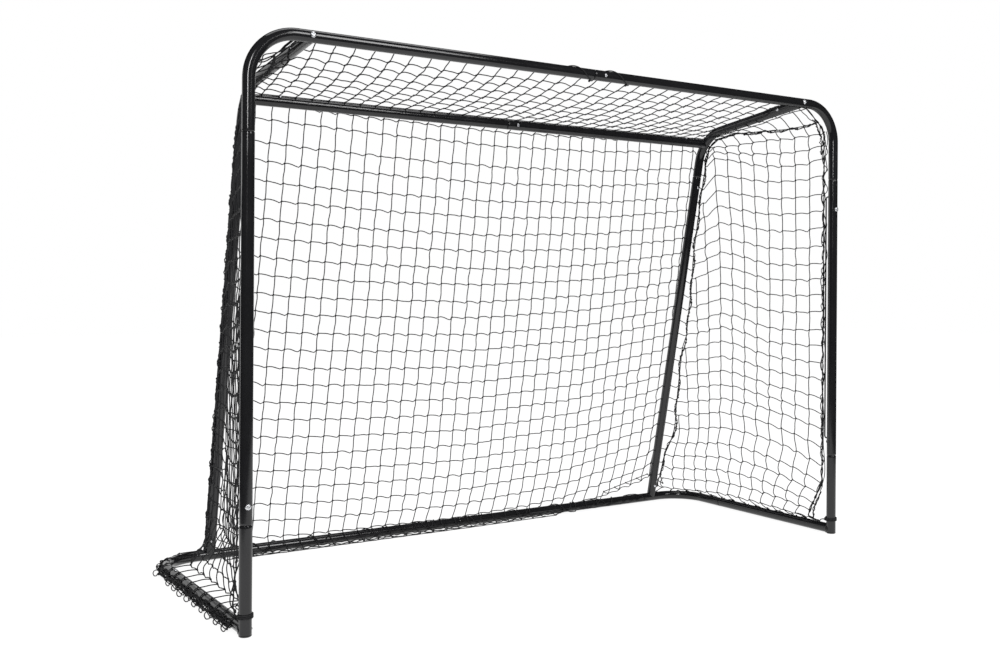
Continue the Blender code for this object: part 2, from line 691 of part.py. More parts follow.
def net_mesh(surface, columns, rows):
    """Square mesh of flat strands on a surface(u, v), one closed body with open gaps."""
    mesh = bmesh.new()
    half_width = STRAND_WIDTH / 2
    half_thickness = STRAND_THICKNESS / 2
    step = NET_TANGENT_STEP
    knots = {}
    for column in range(columns + 1):
        for row in range(rows + 1):
            u, v = column / columns, row / rows
            here = surface(u, v)
            across = surface(min(u + step, 1), v) - surface(max(u - step, 0), v)
            up = surface(u, min(v + step, 1)) - surface(u, max(v - step, 0))
            across.normalize()
            up.normalize()
            normal = across.cross(up).normalized()
            for i in (0, 1):
                for j in (0, 1):
                    for k in (0, 1):
                        spot = (here + across * half_width * (2 * i - 1)
                                + up * half_width * (2 * j - 1)
                                + normal * half_thickness * (2 * k - 1))
                        knots[column, row, i, j, k] = mesh.verts.new(spot)

    def quad(*keys):
        mesh.faces.new([knots[key] for key in keys])

    for column in range(columns + 1):
        for row in range(rows + 1):
            for k in (0, 1):
                quad((column, row, 0, 0, k), (column, row, 1, 0, k),
                     (column, row, 1, 1, k), (column, row, 0, 1, k))
                if column < columns:
                    quad((column, row, 1, 0, k), (column + 1, row, 0, 0, k),
                         (column + 1, row, 0, 1, k), (column, row, 1, 1, k))
                if row < rows:
                    quad((column, row, 0, 1, k), (column, row, 1, 1, k),
                         (column, row + 1, 1, 0, k), (column, row + 1, 0, 0, k))
            for j in (0, 1):
                if column < columns:
                    quad((column, row, 1, j, 0), (column + 1, row, 0, j, 0),
                         (column + 1, row, 0, j, 1), (column, row, 1, j, 1))
            for i in (0, 1):
                if row < rows:
                    quad((column, row, i, 1, 0), (column, row + 1, i, 0, 0),
                         (column, row + 1, i, 0, 1), (column, row, i, 1, 1))
            for row_edge, j in ((0, 0), (rows, 1)):
                if row == row_edge:
                    quad((column, row, 0, j, 0), (column, row, 1, j, 0),
                         (column, row, 1, j, 1), (column, row, 0, j, 1))
            for column_edge, i in ((0, 0), (columns, 1)):
                if column == column_edge:
                    quad((column, row, i, 0, 0), (column, row, i, 1, 0),
                         (column, row, i, 1, 1), (column, row, i, 0, 1))
    return mesh


def net_profile():
    """Front edge, crease and lower edge of the top and back nets, as points of the side view."""
    bar = rear_bar_axis()
    front = Vector((0, NET_EDGE_BEHIND_FRAME, CROSSBAR_Z))
    foot = Vector((0, BASE_DEPTH, BASE_Z)) + stay_direction() * (LACED_EDGE + STRAND_WIDTH / 2)
    top_run = (bar - front).normalized()
    back_run = (foot - bar).normalized()
    over = X_AXIS.cross(top_run)
    behind = X_AXIS.cross(back_run)
    crease = bar + (over + behind).normalized() * NET_LIFT / math.cos(over.angle(behind) / 2)
    return front, crease, foot


def distance_near(points, target):
    """Distance along a line at which it passes nearest to a point."""
    best = (1e9, 0.0)
    walked = 0.0
    for start, end in zip(points, points[1:]):
        run = end - start
        share = max(0.0, min(1.0, (target - start).dot(run) / run.length_squared))
        gap = (start + run * share - target).length
        best = min(best, (gap, walked + share * run.length))
        walked += run.length
    return best[1]


def make_top_and_back_nets(parent):
    """Top and back panels, stretched over the rear crossbar between the two side frames."""
    front, crease, foot = net_profile()

    def panel(start, end):
        def surface(u, v):
            point = start.lerp(end, v)
            return Vector(((2 * u - 1) * NET_HALF_WIDTH, point.y, point.z))
        return surface

    top_end = crease + (front - crease).normalized() * CREASE_MARGIN
    back_start = crease + (foot - crease).normalized() * CREASE_MARGIN
    add_object("net_top", net_mesh(panel(front, top_end), NET_COLUMNS_ACROSS, NET_ROWS_TOP),
               black_twine, parent)
    add_object("net_back", net_mesh(panel(back_start, foot), NET_COLUMNS_ACROSS, NET_ROWS_BACK),
               black_twine, parent)


def side_net_edges(side):
    """Front, rear, lower and upper edge lines of a side panel."""
    lay = TUBE_RADIUS + CLEARANCE + math.hypot(STRAND_WIDTH, STRAND_THICKNESS) / 2
    aside = X_AXIS * side * lay * math.cos(SIDE_NET_LAY_ANGLE)
    under = lay * math.sin(SIDE_NET_LAY_ANGLE)
    low = LACED_EDGE * math.sin(POST_LAY_ANGLE)
    front_x = side * (POST_X - low)
    front_y = NET_EDGE_BEHIND_FRAME
    base_z = BASE_Z + low
    centre_line = side_route(side)
    frame_line = [point + aside - X_AXIS.cross(direction) * under
                  for point, direction in zip(centre_line, tangents(centre_line))]
    start = distance_near(frame_line, frame_line[0] + Y_AXIS * front_y)
    bend = distance_near(frame_line, rear_bar_axis() + X_AXIS * frame_line[0].x)
    foot = path_length(frame_line) - LACED_EDGE - STRAND_WIDTH
    upper_front = along(frame_line, start)
    lower_rear = along(frame_line, foot)
    upper_bend = CORNER_BEND - low / 2
    lower_bend = CORNER_BEND / 2
    front = route([(front_x, front_y, base_z), (front_x, front_y, upper_front.z), upper_front],
                  upper_bend)
    lower = route([(front_x, front_y, base_z),
                   (front_x, lower_rear.y - low / 2, base_z),
                   lower_rear], lower_bend)
    shares = [step / SIDE_NET_EDGE_STEPS for step in range(SIDE_NET_EDGE_STEPS + 1)]
    upper = [along(frame_line, start + (bend - start) * share) for share in shares]
    rear = [along(frame_line, foot + (bend - foot) * share) for share in shares]
    return front, rear, lower, upper


def side_net_surface(side):
    """Patch blended from its four edges, drawn out a little in the middle."""
    front, rear, lower, upper = side_net_edges(side)
    lengths = [path_length(line) for line in (front, rear, lower, upper)]
    corners = (lower[0], lower[-1], upper[0], upper[-1])

    def surface(u, v):
        at_front = along(front, v * lengths[0])
        at_rear = along(rear, v * lengths[1])
        at_lower = along(lower, u * lengths[2])
        at_upper = along(upper, u * lengths[3])
        blend = (corners[0] * (1 - u) * (1 - v) + corners[1] * u * (1 - v)
                 + corners[2] * (1 - u) * v + corners[3] * u * v)
        bulge = SIDE_NET_BULGE * 16 * u * (1 - u) * v * (1 - v)
        return (at_lower * (1 - v) + at_upper * v + at_front * (1 - u) + at_rear * u - blend
                + X_AXIS * side * bulge)
    return surface


def make_side_nets(parent):
    for side, word in SIDES:
        panel = net_mesh(side_net_surface(side), NET_COLUMNS_SIDE, NET_ROWS_SIDE)
        add_object("net_" + word, panel, black_twine, parent)


def add_cord(name, points, parent):
    return add_object(name, rod_mesh(points, CORD_RADIUS, CORD_SIDES), black_twine, parent)


def zigzag(line, pitch, first_offset, second_offset):
    """Points that swing between two offsets from a straight line, one full swing each pitch."""
    length = path_length(line)
    turns = max(2, round(length / pitch * 2))
    points = []
    for step in range(turns + 1):
        offset = first_offset if step % 2 == 0 else second_offset
        points.append(along(line, length * step / turns) + offset)
    return points


def make_post_lacings(parent):
    """Cord that zigzags between the rod behind each post and the front edge of the side net."""
    reach = CLEARANCE + CORD_RADIUS
    for side, word in SIDES:
        inner_x = POST_X - LACED_EDGE * math.sin(POST_LAY_ANGLE)
        rod = [Vector((side * POST_X, ROD_STANDOFF + ROD_RADIUS + reach, height))
               for height in (LOWER_SEAM_HEIGHT + ROD_END_MARGIN,
                              UPPER_SEAM_HEIGHT - ROD_END_MARGIN)]
        gap = NET_EDGE_BEHIND_FRAME - STRAND_WIDTH / 2 - reach - rod[0].y
        swing = Vector((side * (inner_x - POST_X), gap, 0))
        add_cord("post_lacing_" + word, zigzag(rod, POST_LACING_PITCH, Vector(), swing), parent)


def make_crossbar_lacings(parent):
    """Cord between each crossbar rod and the top net, and the turns round the centre joint."""
    reach = CLEARANCE + CORD_RADIUS
    rod_y = ROD_STANDOFF + ROD_RADIUS + reach
    gap = NET_EDGE_BEHIND_FRAME - STRAND_WIDTH / 2 - reach - rod_y
    for side, word in SIDES:
        rod = [Vector((side * x, rod_y, CROSSBAR_Z))
               for x in (CROSSBAR_ROD_START, SIDE_FRAME_X - ROD_END_MARGIN)]
        add_cord("crossbar_lacing_" + word,
                 zigzag(rod, CROSSBAR_LACING_PITCH, Vector(), Y_AXIS * gap), parent)
    turns = []
    radius = (TUBE_RADIUS + CLEARANCE + CORD_RADIUS) / math.cos(math.pi / WRAP_STEPS)
    for step in range(CROSSBAR_WRAP_TURNS * WRAP_STEPS + 1):
        angle = 2 * math.pi * step / WRAP_STEPS
        x = CROSSBAR_WRAP_START + CROSSBAR_WRAP_PITCH * step / WRAP_STEPS
        turns.append(Vector((x, radius * math.cos(angle), CROSSBAR_Z + radius * math.sin(angle))))
    add_cord("crossbar_centre_lacing", turns, parent)


def weave(line, up, flip):
    """Cord that swings from side to side over the top of a tube, without passing under it."""
    length = path_length(line)
    swings = max(1, round(2 * length / BASE_LACING_PITCH))
    count = swings * BASE_LACING_STEPS
    across = (line[-1] - line[0]).normalized().cross(up)
    points = []
    for step in range(count + 1):
        centre = along(line, length * step / count)
        phase = step % (2 * BASE_LACING_STEPS) / BASE_LACING_STEPS
        angle = BASE_LACING_SWING * (1 - 2 * abs(1 - phase)) * flip
        points.append(centre + (up * math.cos(angle) + across * math.sin(angle)) * LACING_RADIUS)
    return points


def make_base_lacings(parent):
    """Cord that holds the lower edge of the net along the base tubes."""
    for side, word in SIDES:
        x = side * POST_X
        line = [Vector((x, NET_EDGE_BEHIND_FRAME, BASE_Z)),
                Vector((x, BASE_DEPTH - CORNER_BEND, BASE_Z))]
        add_cord("base_lacing_" + word, weave(line, Z_AXIS, side), parent)
    half = SIDE_FRAME_X - 2 * TUBE_RADIUS
    line = [Vector((-half, BASE_DEPTH, BASE_Z)), Vector((half, BASE_DEPTH, BASE_Z))]
    add_cord("base_lacing_rear", weave(line, Z_AXIS, RIGHT), parent)


def make_foot_ties(parent):
    """Two turns of cord round the foot of each post, above the base side tube."""
    radius = (TUBE_RADIUS + CLEARANCE + CORD_RADIUS) / math.cos(math.pi / WRAP_STEPS)
    rise = 2 * CORD_RADIUS + 2 * CLEARANCE
    for side, word in SIDES:
        points = []
        for step in range(FOOT_TIE_TURNS * WRAP_STEPS + 1):
            angle = 2 * math.pi * step / WRAP_STEPS
            height = FOOT_TIE_HEIGHT + rise * step / WRAP_STEPS
            points.append(Vector((side * (POST_X + radius * math.cos(angle)),
                                  radius * math.sin(angle), height)))
        add_cord("foot_tie_" + word, points, parent)


def add_centre_empty():
    """Empty that brings the bottom centre of the whole goal to the origin."""
    front = TUBE_RADIUS + CLEARANCE + BOLT_HEAD_HEIGHT
    rear = BASE_DEPTH + LACING_RADIUS + CORD_RADIUS
    empty = bpy.data.objects.new("goal_centre", None)
    empty.location = (0, -(rear - front) / 2, 0)
    bpy.context.scene.collection.objects.link(empty)
    return empty


def main():
    clear_scene()
    centre = add_centre_empty()
    crossbars = make_crossbars(centre)
    posts = make_posts(centre)
    feet = make_feet(centre)
    corners = make_base_corners(centre)
    arms = make_side_frames(centre, corners)
    make_arm_spigots(centre, arms, crossbars)
    make_rear_crossbars(centre, arms)
    lock_posts(centre, crossbars, posts, feet)
    lock_base(centre, feet, corners)
    make_top_and_back_nets(centre)
    make_side_nets(centre)
    make_post_lacings(centre)
    make_crossbar_lacings(centre)
    make_base_lacings(centre)
    make_foot_ties(centre)


main()
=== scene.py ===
import math

import bpy
import numpy as np
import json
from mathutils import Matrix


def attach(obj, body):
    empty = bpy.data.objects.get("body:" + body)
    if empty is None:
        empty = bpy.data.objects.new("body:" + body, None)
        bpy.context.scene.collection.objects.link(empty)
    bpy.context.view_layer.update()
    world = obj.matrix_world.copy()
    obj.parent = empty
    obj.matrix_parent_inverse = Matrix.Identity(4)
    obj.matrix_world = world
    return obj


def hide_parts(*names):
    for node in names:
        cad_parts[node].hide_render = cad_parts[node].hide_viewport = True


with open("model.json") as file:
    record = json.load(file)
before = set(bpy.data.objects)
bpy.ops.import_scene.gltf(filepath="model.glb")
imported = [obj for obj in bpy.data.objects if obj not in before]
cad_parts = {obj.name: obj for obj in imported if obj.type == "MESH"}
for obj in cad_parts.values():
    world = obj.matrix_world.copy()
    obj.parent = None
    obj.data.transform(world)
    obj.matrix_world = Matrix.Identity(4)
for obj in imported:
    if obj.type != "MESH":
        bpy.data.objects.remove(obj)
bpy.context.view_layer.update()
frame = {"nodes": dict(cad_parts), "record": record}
scene = bpy.context.scene

# Frame sizes in metres, as in the part. The part's own y = 0 is the crossbar's axis
POST_X = 0.8125
CROSSBAR_Z = 1.1625
TUBE_RADIUS = 0.0125
SLEEVE_RADIUS = 0.0107
BASE_Z = 0.0125
BASE_DEPTH = 0.627
SHOULDER_DEPTH = 0.393
SHOULDER_HEIGHT = 1.113
SIDE_FRAME_X = 0.688
REAR_BAR = (0.3824, 1.0897)
CORNER_BEND = 0.096
SHOULDER_BEND = 0.108
UPPER_SEAM = 0.964
LOWER_SEAM = 0.213
BASE_SEAM = 0.440
STAY_SEAM = 0.995
CAP_TOP = 0.0033
SHIFT_Y = -0.3134336      # from the part's own y to the frame's
SEAM_GAP = 0.0003         # open joint between two tubes
SCREW_TO_SEAM = 0.029
HEAD_SEAT = TUBE_RADIUS + 0.0003      # underside of a head from the tube's axis
CROSSBAR_ROD = (0.150, 0.643)     # ends of the rod that the roof is laced to, from the centre
ROD_BACK = 0.024          # axis of the net rods behind the tubes' axis
SIDES = ((-1, "left"), (1, "right"))
SHARP_EDGE = 50           # degrees between faces whose edge is shaded sharp

# Camera, in the part's own coordinates
CAMERA_PLACE = (-1.5324, -2.1119, 0.6792)
CAMERA_YAW = 34.5846
CAMERA_PITCH = -0.038
CAMERA_ROLL = 0.3497
CAMERA_LENS = 40.454
SENSOR_WIDTH = 36.0
CAMERA_SHIFT = (-0.06449, -0.0515)

# Net: 35 cells between the side frames, 8 rows on top, one over the rear bar, 26 down the back
TWINE = 0.0013            # radius of the net's twine
HEM_CORD = 0.0014         # radius of hem and lacing cords
THIN_CORD = HEM_CORD * 0.8
COLUMNS = 35
TOP_ROWS = 8
BACK_ROWS = 27
CELL = 0.0433
REACH = TUBE_RADIUS + 0.0018                    # twine's centre line above a tube's axis
WRAP_RADIUS = TUBE_RADIUS + HEM_CORD + 0.0004   # the same for cords wound round a tube

# Seam of the right side panel: along the top arm, then down the rear stay
SEAM_ARM = [(0.786, 0.030, 1.122), (0.7765, 0.079, 1.1165), (0.766, 0.135, 1.1125),
            (0.7525, 0.197, 1.1135), (0.732, 0.282, 1.1145), (0.7215, 0.320, 1.1135),
            (0.7115, 0.357, 1.103), (0.708, 0.387, 1.080)]
SEAM_STAY = [(0.708, 0.387, 1.080), (0.7135, 0.413, 1.0085), (0.7155, 0.428, 0.950),
             (0.7165, 0.4435, 0.875), (0.718, 0.459, 0.800), (0.720, 0.468, 0.760),
             (0.731, 0.489, 0.660), (0.7335, 0.505, 0.588), (0.7395, 0.519, 0.521),
             (0.728, 0.528, 0.477), (0.731, 0.5355, 0.443), (0.734, 0.5465, 0.391),
             (0.7395, 0.5644, 0.307), (0.746, 0.580, 0.232), (0.744, 0.587, 0.200),
             (0.723, 0.600, 0.149), (0.716, 0.612, 0.090), (0.713, 0.622, 0.045)]
# The left one hugs its tubes more closely: x along the same points
LEFT_ARM_X = [0.752, 0.736, 0.724, 0.713, 0.702, 0.697, 0.693, 0.693]
LEFT_STAY_X = 0.7020
LEFT_STAY_FORWARD = 0.0045

# Heights of the side panels' rows of knots, at the post and at the crease so many cells back
CREASE_CELLS = 8
POST_ROWS = [1.122, 1.098, 1.068, 1.0303, 0.9819, 0.9316, 0.8854, 0.8393, 0.7884, 0.7422,
             0.6983, 0.6543, 0.6079, 0.5571, 0.5132, 0.4654, 0.4185, 0.3676, 0.326, 0.282,
             0.2332, 0.1823, 0.137, 0.104, 0.077, 0.053, 0.033]
CREASE_ROWS = [1.092, 1.084, 1.070, 1.052, 1.0025, 0.9577, 0.9128, 0.8651, 0.8204, 0.7782,
               0.7334, 0.6834, 0.6385, 0.5937, 0.5527, 0.5091, 0.4630, 0.4194, 0.3769, 0.3345,
               0.2923, 0.246, 0.199, 0.157, 0.117, 0.080, 0.046]
# The left panel hangs lower at its crease, and has one row less
LEFT_POST_ROWS = POST_ROWS[:20] + [0.240, 0.200, 0.160, 0.118, 0.078, 0.040]
LEFT_CREASE_ROWS = [1.092, 1.080, 1.050, 1.005, 0.959,
                    *[round(0.9125 - 0.0465 * row, 4) for row in range(16)],
                    0.170, 0.128, 0.092, 0.062, 0.036]
HEM_PITCH = 0.0487           # from knot to knot along a base tube
LOOP_CHANCE = 0.8            # how often a loop sticks out between two of them
CENTRE_WRAP = -0.0960        # where the cord round the crossbar's centre starts
STRING_POINTS = 7            # on each string, from knot to knot
BOW = 0.50                   # how freely upright strings bow aside
LEFT_BOW = 0.18
UNDER_BAR_BOW = 0.12

# How far the top net's front rows hang between its lacing points, in mm over x
TOP_WAVE_X = [-0.79, -0.655, -0.50, -0.33, -0.20, -0.08, 0.03, 0.105, 0.20, 0.305, 0.45, 0.60,
              0.79]
TOP_WAVE_DROP = [-4, -4, 0, 7, 4, -1, 2.5, 4, -1, -3, -2, -2.5, -4]
BACK_X = [-0.70, -0.35, 0, 0.35, 0.70]      # where the back's row pitch is given

CHANCE = np.random.default_rng(7)      # the one seeded source, drawn from in a fixed order


def linear(code):
    """sRGB hex colour as linear RGBA."""
    parts = [int(code[i:i + 2], 16) / 255 for i in (1, 3, 5)]
    return (*[c / 12.92 if c <= 0.04045 else ((c + 0.055) / 1.055) ** 2.4 for c in parts], 1.0)


def add(tree, kind, values=None, **settings):
    """Add one shader node: its settings by name, its sockets by name with a value or a link."""
    made = tree.nodes.new("ShaderNode" + kind)
    for key, value in settings.items():
        setattr(made, key, value)
    for key, value in (values or {}).items():
        if isinstance(value, bpy.types.NodeSocket):
            tree.links.new(value, made.inputs[key])
        else:
            made.inputs[key].default_value = value
    return made


def material(name, surface):
    """Material whose surface is the shader node that surface(tree) makes."""
    made = bpy.data.materials.new(name)
    made.use_nodes = True
    tree = made.node_tree
    tree.nodes.clear()
    add(tree, "OutputMaterial", {"Surface": surface(tree).outputs[0]})
    return made


def noise(tree, scale, detail, **more):
    """Noise in object coordinates."""
    place = add(tree, "TexCoord").outputs["Object"]
    values = {"Vector": place, "Scale": scale, "Detail": detail, **more}
    return add(tree, "TexNoise", values).outputs["Fac"]


def spread(tree, value, low, high, start=0.0, end=1.0):
    """A value from start to end, mapped to low to high."""
    values = {"Value": value, "From Min": start, "From Max": end, "To Min": low, "To Max": high}
    return add(tree, "MapRange", values).outputs["Result"]


def tinted(tree, share, one, two):
    """Colour between two hex colours."""
    values = {"Fac": share, "Color1": linear(one), "Color2": linear(two)}
    return add(tree, "MixRGB", values).outputs["Color"]


def bumped(tree, height, strength, distance):
    """Normal tilted by a height."""
    values = {"Height": height, "Strength": strength, "Distance": distance}
    return add(tree, "Bump", values).outputs["Normal"]


def calc(tree, operation, *values):
    """Result of one math node."""
    return add(tree, "Math", dict(enumerate(values)), operation=operation).outputs[0]


def powder_coat(tree):
    """Gloss black polyester powder coat on steel tube: sharp highlights, fine orange peel."""
    dust = noise(tree, 11.0, 5.0, Roughness=0.6)
    return add(tree, "BsdfPrincipled", {
        "Base Color": tinted(tree, dust, "#151516", "#1c1c1e"), "IOR": 1.5,
        "Roughness": spread(tree, dust, 0.10, 0.20, 0.35, 0.75),
        "Normal": bumped(tree, noise(tree, 300.0, 1.0), 0.10, 0.0003)})


def weld_bead(tree):
    """Weld bead under the same powder coat: rippled, a little duller."""
    ripple = bumped(tree, noise(tree, 420.0, 2.0), 0.5, 0.0006)
    return add(tree, "BsdfPrincipled", {"Base Color": linear("#131314"), "Roughness": 0.28,
                                        "Normal": ripple})


def zinc_plate(tree):
    """Bright zinc plate on steel fasteners: pale silver, fine turned grain, a few dull spots."""
    spots = noise(tree, 350.0, 2.0)
    return add(tree, "BsdfPrincipled", {
        "Base Color": tinted(tree, spots, "#f2f3f5", "#d4d6da"), "Metallic": 1.0,
        "Roughness": spread(tree, noise(tree, 1500.0, 3.0), 0.30, 0.50)})


def cap_plastic(tree):
    """Moulded black polyethylene of the end caps: dull, slightly uneven."""
    return add(tree, "BsdfPrincipled", {
        "Base Color": linear("#1b1b1c"), "IOR": 1.5,
        "Roughness": spread(tree, noise(tree, 120.0, 2.0), 0.40, 0.60)})


def black_twine(tree):
    """Black twisted polyester twine: dull, three plies laid round each other, a little fuzz.

    Height = sin(2 pi (3 u + v / 0.9 cm)), with u round the cord (0 to 1) and v along it in cm.
    """
    place = add(tree, "SeparateXYZ", {"Vector": add(tree, "UVMap", uv_map="lay").outputs["UV"]})
    plies = calc(tree, "MULTIPLY", place.outputs["X"], 3.0)
    phase = calc(tree, "ADD", plies, calc(tree, "DIVIDE", place.outputs["Y"], 0.9))
    wave = calc(tree, "SINE", calc(tree, "MULTIPLY", phase, 2 * math.pi))
    height = calc(tree, "MULTIPLY_ADD", wave, 0.5, noise(tree, 1400.0, 2.0))
    return add(tree, "BsdfPrincipled", {
        "Base Color": linear("#1e1e20"), "Roughness": 0.75, "Specular IOR Level": 0.35,
        "Normal": bumped(tree, height, 0.5, 0.0003)})


def seen_ray(tree):
    """1 for rays from the camera and for reflected or transmitted ones, 0 for the rest."""
    path = add(tree, "LightPath").outputs
    seen = calc(tree, "MAXIMUM", path["Is Camera Ray"], path["Is Glossy Ray"])
    return calc(tree, "MAXIMUM", seen, path["Is Transmission Ray"])


def white_paper(tree):
    """White paper floor, pure white to the camera and in reflections, with a soft shadow."""
    matt = add(tree, "BsdfDiffuse", {"Color": linear("#f4f4f4")})
    glow = add(tree, "Emission", {"Color": (1, 1, 1, 1), "Strength": 1.1})
    share = calc(tree, "MULTIPLY", seen_ray(tree), 0.82)
    return add(tree, "MixShader", {0: share, 1: matt.outputs[0], 2: glow.outputs[0]})


def black_felt(tree):
    """Black felt of the studio's flags, which keep the tubes' reflections deep."""
    return add(tree, "BsdfDiffuse", {"Color": linear("#0c0c0c")})


def unit(vectors):
    """Vectors at length 1."""
    return vectors / np.maximum(np.linalg.norm(vectors, axis=-1), 1e-12)[..., None]


def rounded(corners, radius, steps=8):
    """Line through the corners with each inner corner turned into an arc of one radius."""
    corners = [np.array(corner, float) for corner in corners]
    points = [corners[0]]
    for a, b, c in zip(corners, corners[1:], corners[2:]):
        back, ahead = unit(a - b), unit(c - b)
        half = math.acos(np.clip(back @ ahead, -1, 1)) / 2
        inward = unit(back + ahead)
        centre = b + inward * radius / math.sin(half)
        first = b + back * radius / math.tan(half) - centre
        second = -inward * radius - first * math.sin(half)
        second *= radius / np.linalg.norm(second)
        turn = np.linspace(0, math.pi - 2 * half, steps + 1)
        points += [centre + first * math.cos(t) + second * math.sin(t) for t in turn]
    points.append(corners[-1])
    return np.array(points)


def walked(line):
    """Distance from the start of a line to each of its points."""
    steps = np.linalg.norm(np.diff(line, axis=0), axis=1)
    return np.concatenate([[0], np.cumsum(steps)])


def at(line, shares):
    """Points at shares (0 to 1) of a line's length."""
    line = np.asarray(line, float)
    far = walked(line)
    want = np.clip(np.asarray(shares, float), 0, 1) * far[-1]
    return np.stack([np.interp(want, far, line[:, i]) for i in range(line.shape[1])], -1)


def seam_line(side):
    """Arm and stay parts of a side's seam."""
    arm = np.array(SEAM_ARM)
    stay = np.array(SEAM_STAY)
    if side < 0:
        arm[:, 0] = LEFT_ARM_X
        stay[:, 0] = LEFT_STAY_X
        stay[1:, 1] -= LEFT_STAY_FORWARD
        stay[0, 0] = LEFT_ARM_X[-1]
    return arm * (side, 1, 1), stay * (side, 1, 1)


def stay_point(height):
    """(y, z) of a rear stay's axis at a height."""
    share = (height - BASE_Z) / (SHOULDER_HEIGHT - BASE_Z)
    return BASE_DEPTH + (SHOULDER_DEPTH - BASE_DEPTH) * share, height


def base_axis(side, front, end, steps=10):
    """Axis of a base side tube from y = front, round the corner to x = end."""
    return rounded([(side * POST_X, front, BASE_Z), (side * POST_X, BASE_DEPTH, BASE_Z),
                    (side * end, BASE_DEPTH, BASE_Z)], CORNER_BEND, steps)


def stay_axis(side, front, end, steps=8):
    """Axis of a top arm and its rear stay, round the shoulder, between two (y, z)."""
    x = side * SIDE_FRAME_X
    return rounded([(x, *front), (x, SHOULDER_DEPTH, SHOULDER_HEIGHT), (x, *end)],
                   SHOULDER_BEND, steps)


def mouth_axis(side, middle, end, steps=8):
    """Axis of half the crossbar from x = middle and of its post, round the bend to z = end."""
    x = side * POST_X
    return rounded([(middle, 0, CROSSBAR_Z), (x, 0, CROSSBAR_Z), (x, 0, end)], CORNER_BEND, steps)


def steel_axes():
    """Start and end points of the straight pieces of all tube axes that the net can touch."""
    lines = []
    for side in (-1, 1):
        lines += [stay_axis(side, (0, CROSSBAR_Z), (BASE_DEPTH, BASE_Z)), base_axis(side, 0, 0, 8),
                  mouth_axis(side, 0, 0)]
    lines.append(np.array([(-SIDE_FRAME_X, *REAR_BAR), (SIDE_FRAME_X, *REAR_BAR)]))
    return np.concatenate([a[:-1] for a in lines]), np.concatenate([a[1:] for a in lines])


STEEL = steel_axes()


def push_out(points, reach, movable=True):
    """Move points that lie nearer than reach to a tube's axis straight away from that axis."""
    start, end = STEEL
    run = end - start
    offset = points[:, None] - start[None]
    share = np.clip((offset * run[None]).sum(2) / (run ** 2).sum(1)[None], 0, 1)
    gap = offset - share[..., None] * run[None]
    distance = np.linalg.norm(gap, axis=2)
    near = distance.argmin(1)
    row = np.arange(len(points))
    best = distance[row, near]
    inside = movable & (best < reach)
    outward = gap[row, near] / np.maximum(best, 1e-9)[:, None]
    points[inside] += outward[inside] * (reach - best[inside])[:, None]


def batches_of(strings):
    """Sort strings into batches in which no knot occurs twice."""
    batches, used = [], []
    for number, (one, two, kind) in enumerate(strings):
        for batch, seen in zip(batches, used):
            if one not in seen and two not in seen:
                break
        else:
            batch, seen = [], set()
            batches.append(batch)
            used.append(seen)
        batch.append(number)
        seen.update((one, two))
    return [np.array(batch) for batch in batches]


def hang(knots, pinned, strings, slack, rounds, pull):
    """Let a net hang: strings resist stretch beyond their laid-out length times slack.

    Each round lowers the free knots by pull, then halves every string's excess length
    between its two knots (all of it on the free one where the other is pinned).
    """
    points = knots.copy()
    free = ~pinned
    one, two = strings[:, 0], strings[:, 1]
    length = np.linalg.norm(knots[one] - knots[two], axis=1) * slack
    weight = free.astype(float)
    total = np.maximum(weight[one] + weight[two], 1)
    share_one, share_two = weight[one] / total, weight[two] / total
    batches = batches_of(strings)
    for k in range(rounds):
        points[free, 2] -= pull * (1 - 0.9 * k / rounds)
        for batch in batches:
            a, b = one[batch], two[batch]
            apart = points[b] - points[a]
            now = np.linalg.norm(apart, axis=1)
            apart *= (np.maximum(0, now - length[batch]) / np.maximum(now, 1e-9))[:, None]
            points[a] += apart * share_one[batch, None]
            points[b] -= apart * share_two[batch, None]
        push_out(points, REACH, free)
        points[free, 2] = np.maximum(points[free, 2], 0.0015)
    return points


def crossbar_height(x):
    """Height of the mouth frame's axis above x, on the straight and round the upper bends."""
    into_bend = np.maximum(np.abs(x) - (POST_X - CORNER_BEND), 0)
    drop = CORNER_BEND - np.sqrt(np.maximum(CORNER_BEND ** 2 - into_bend ** 2, 0))
    return CROSSBAR_Z - drop


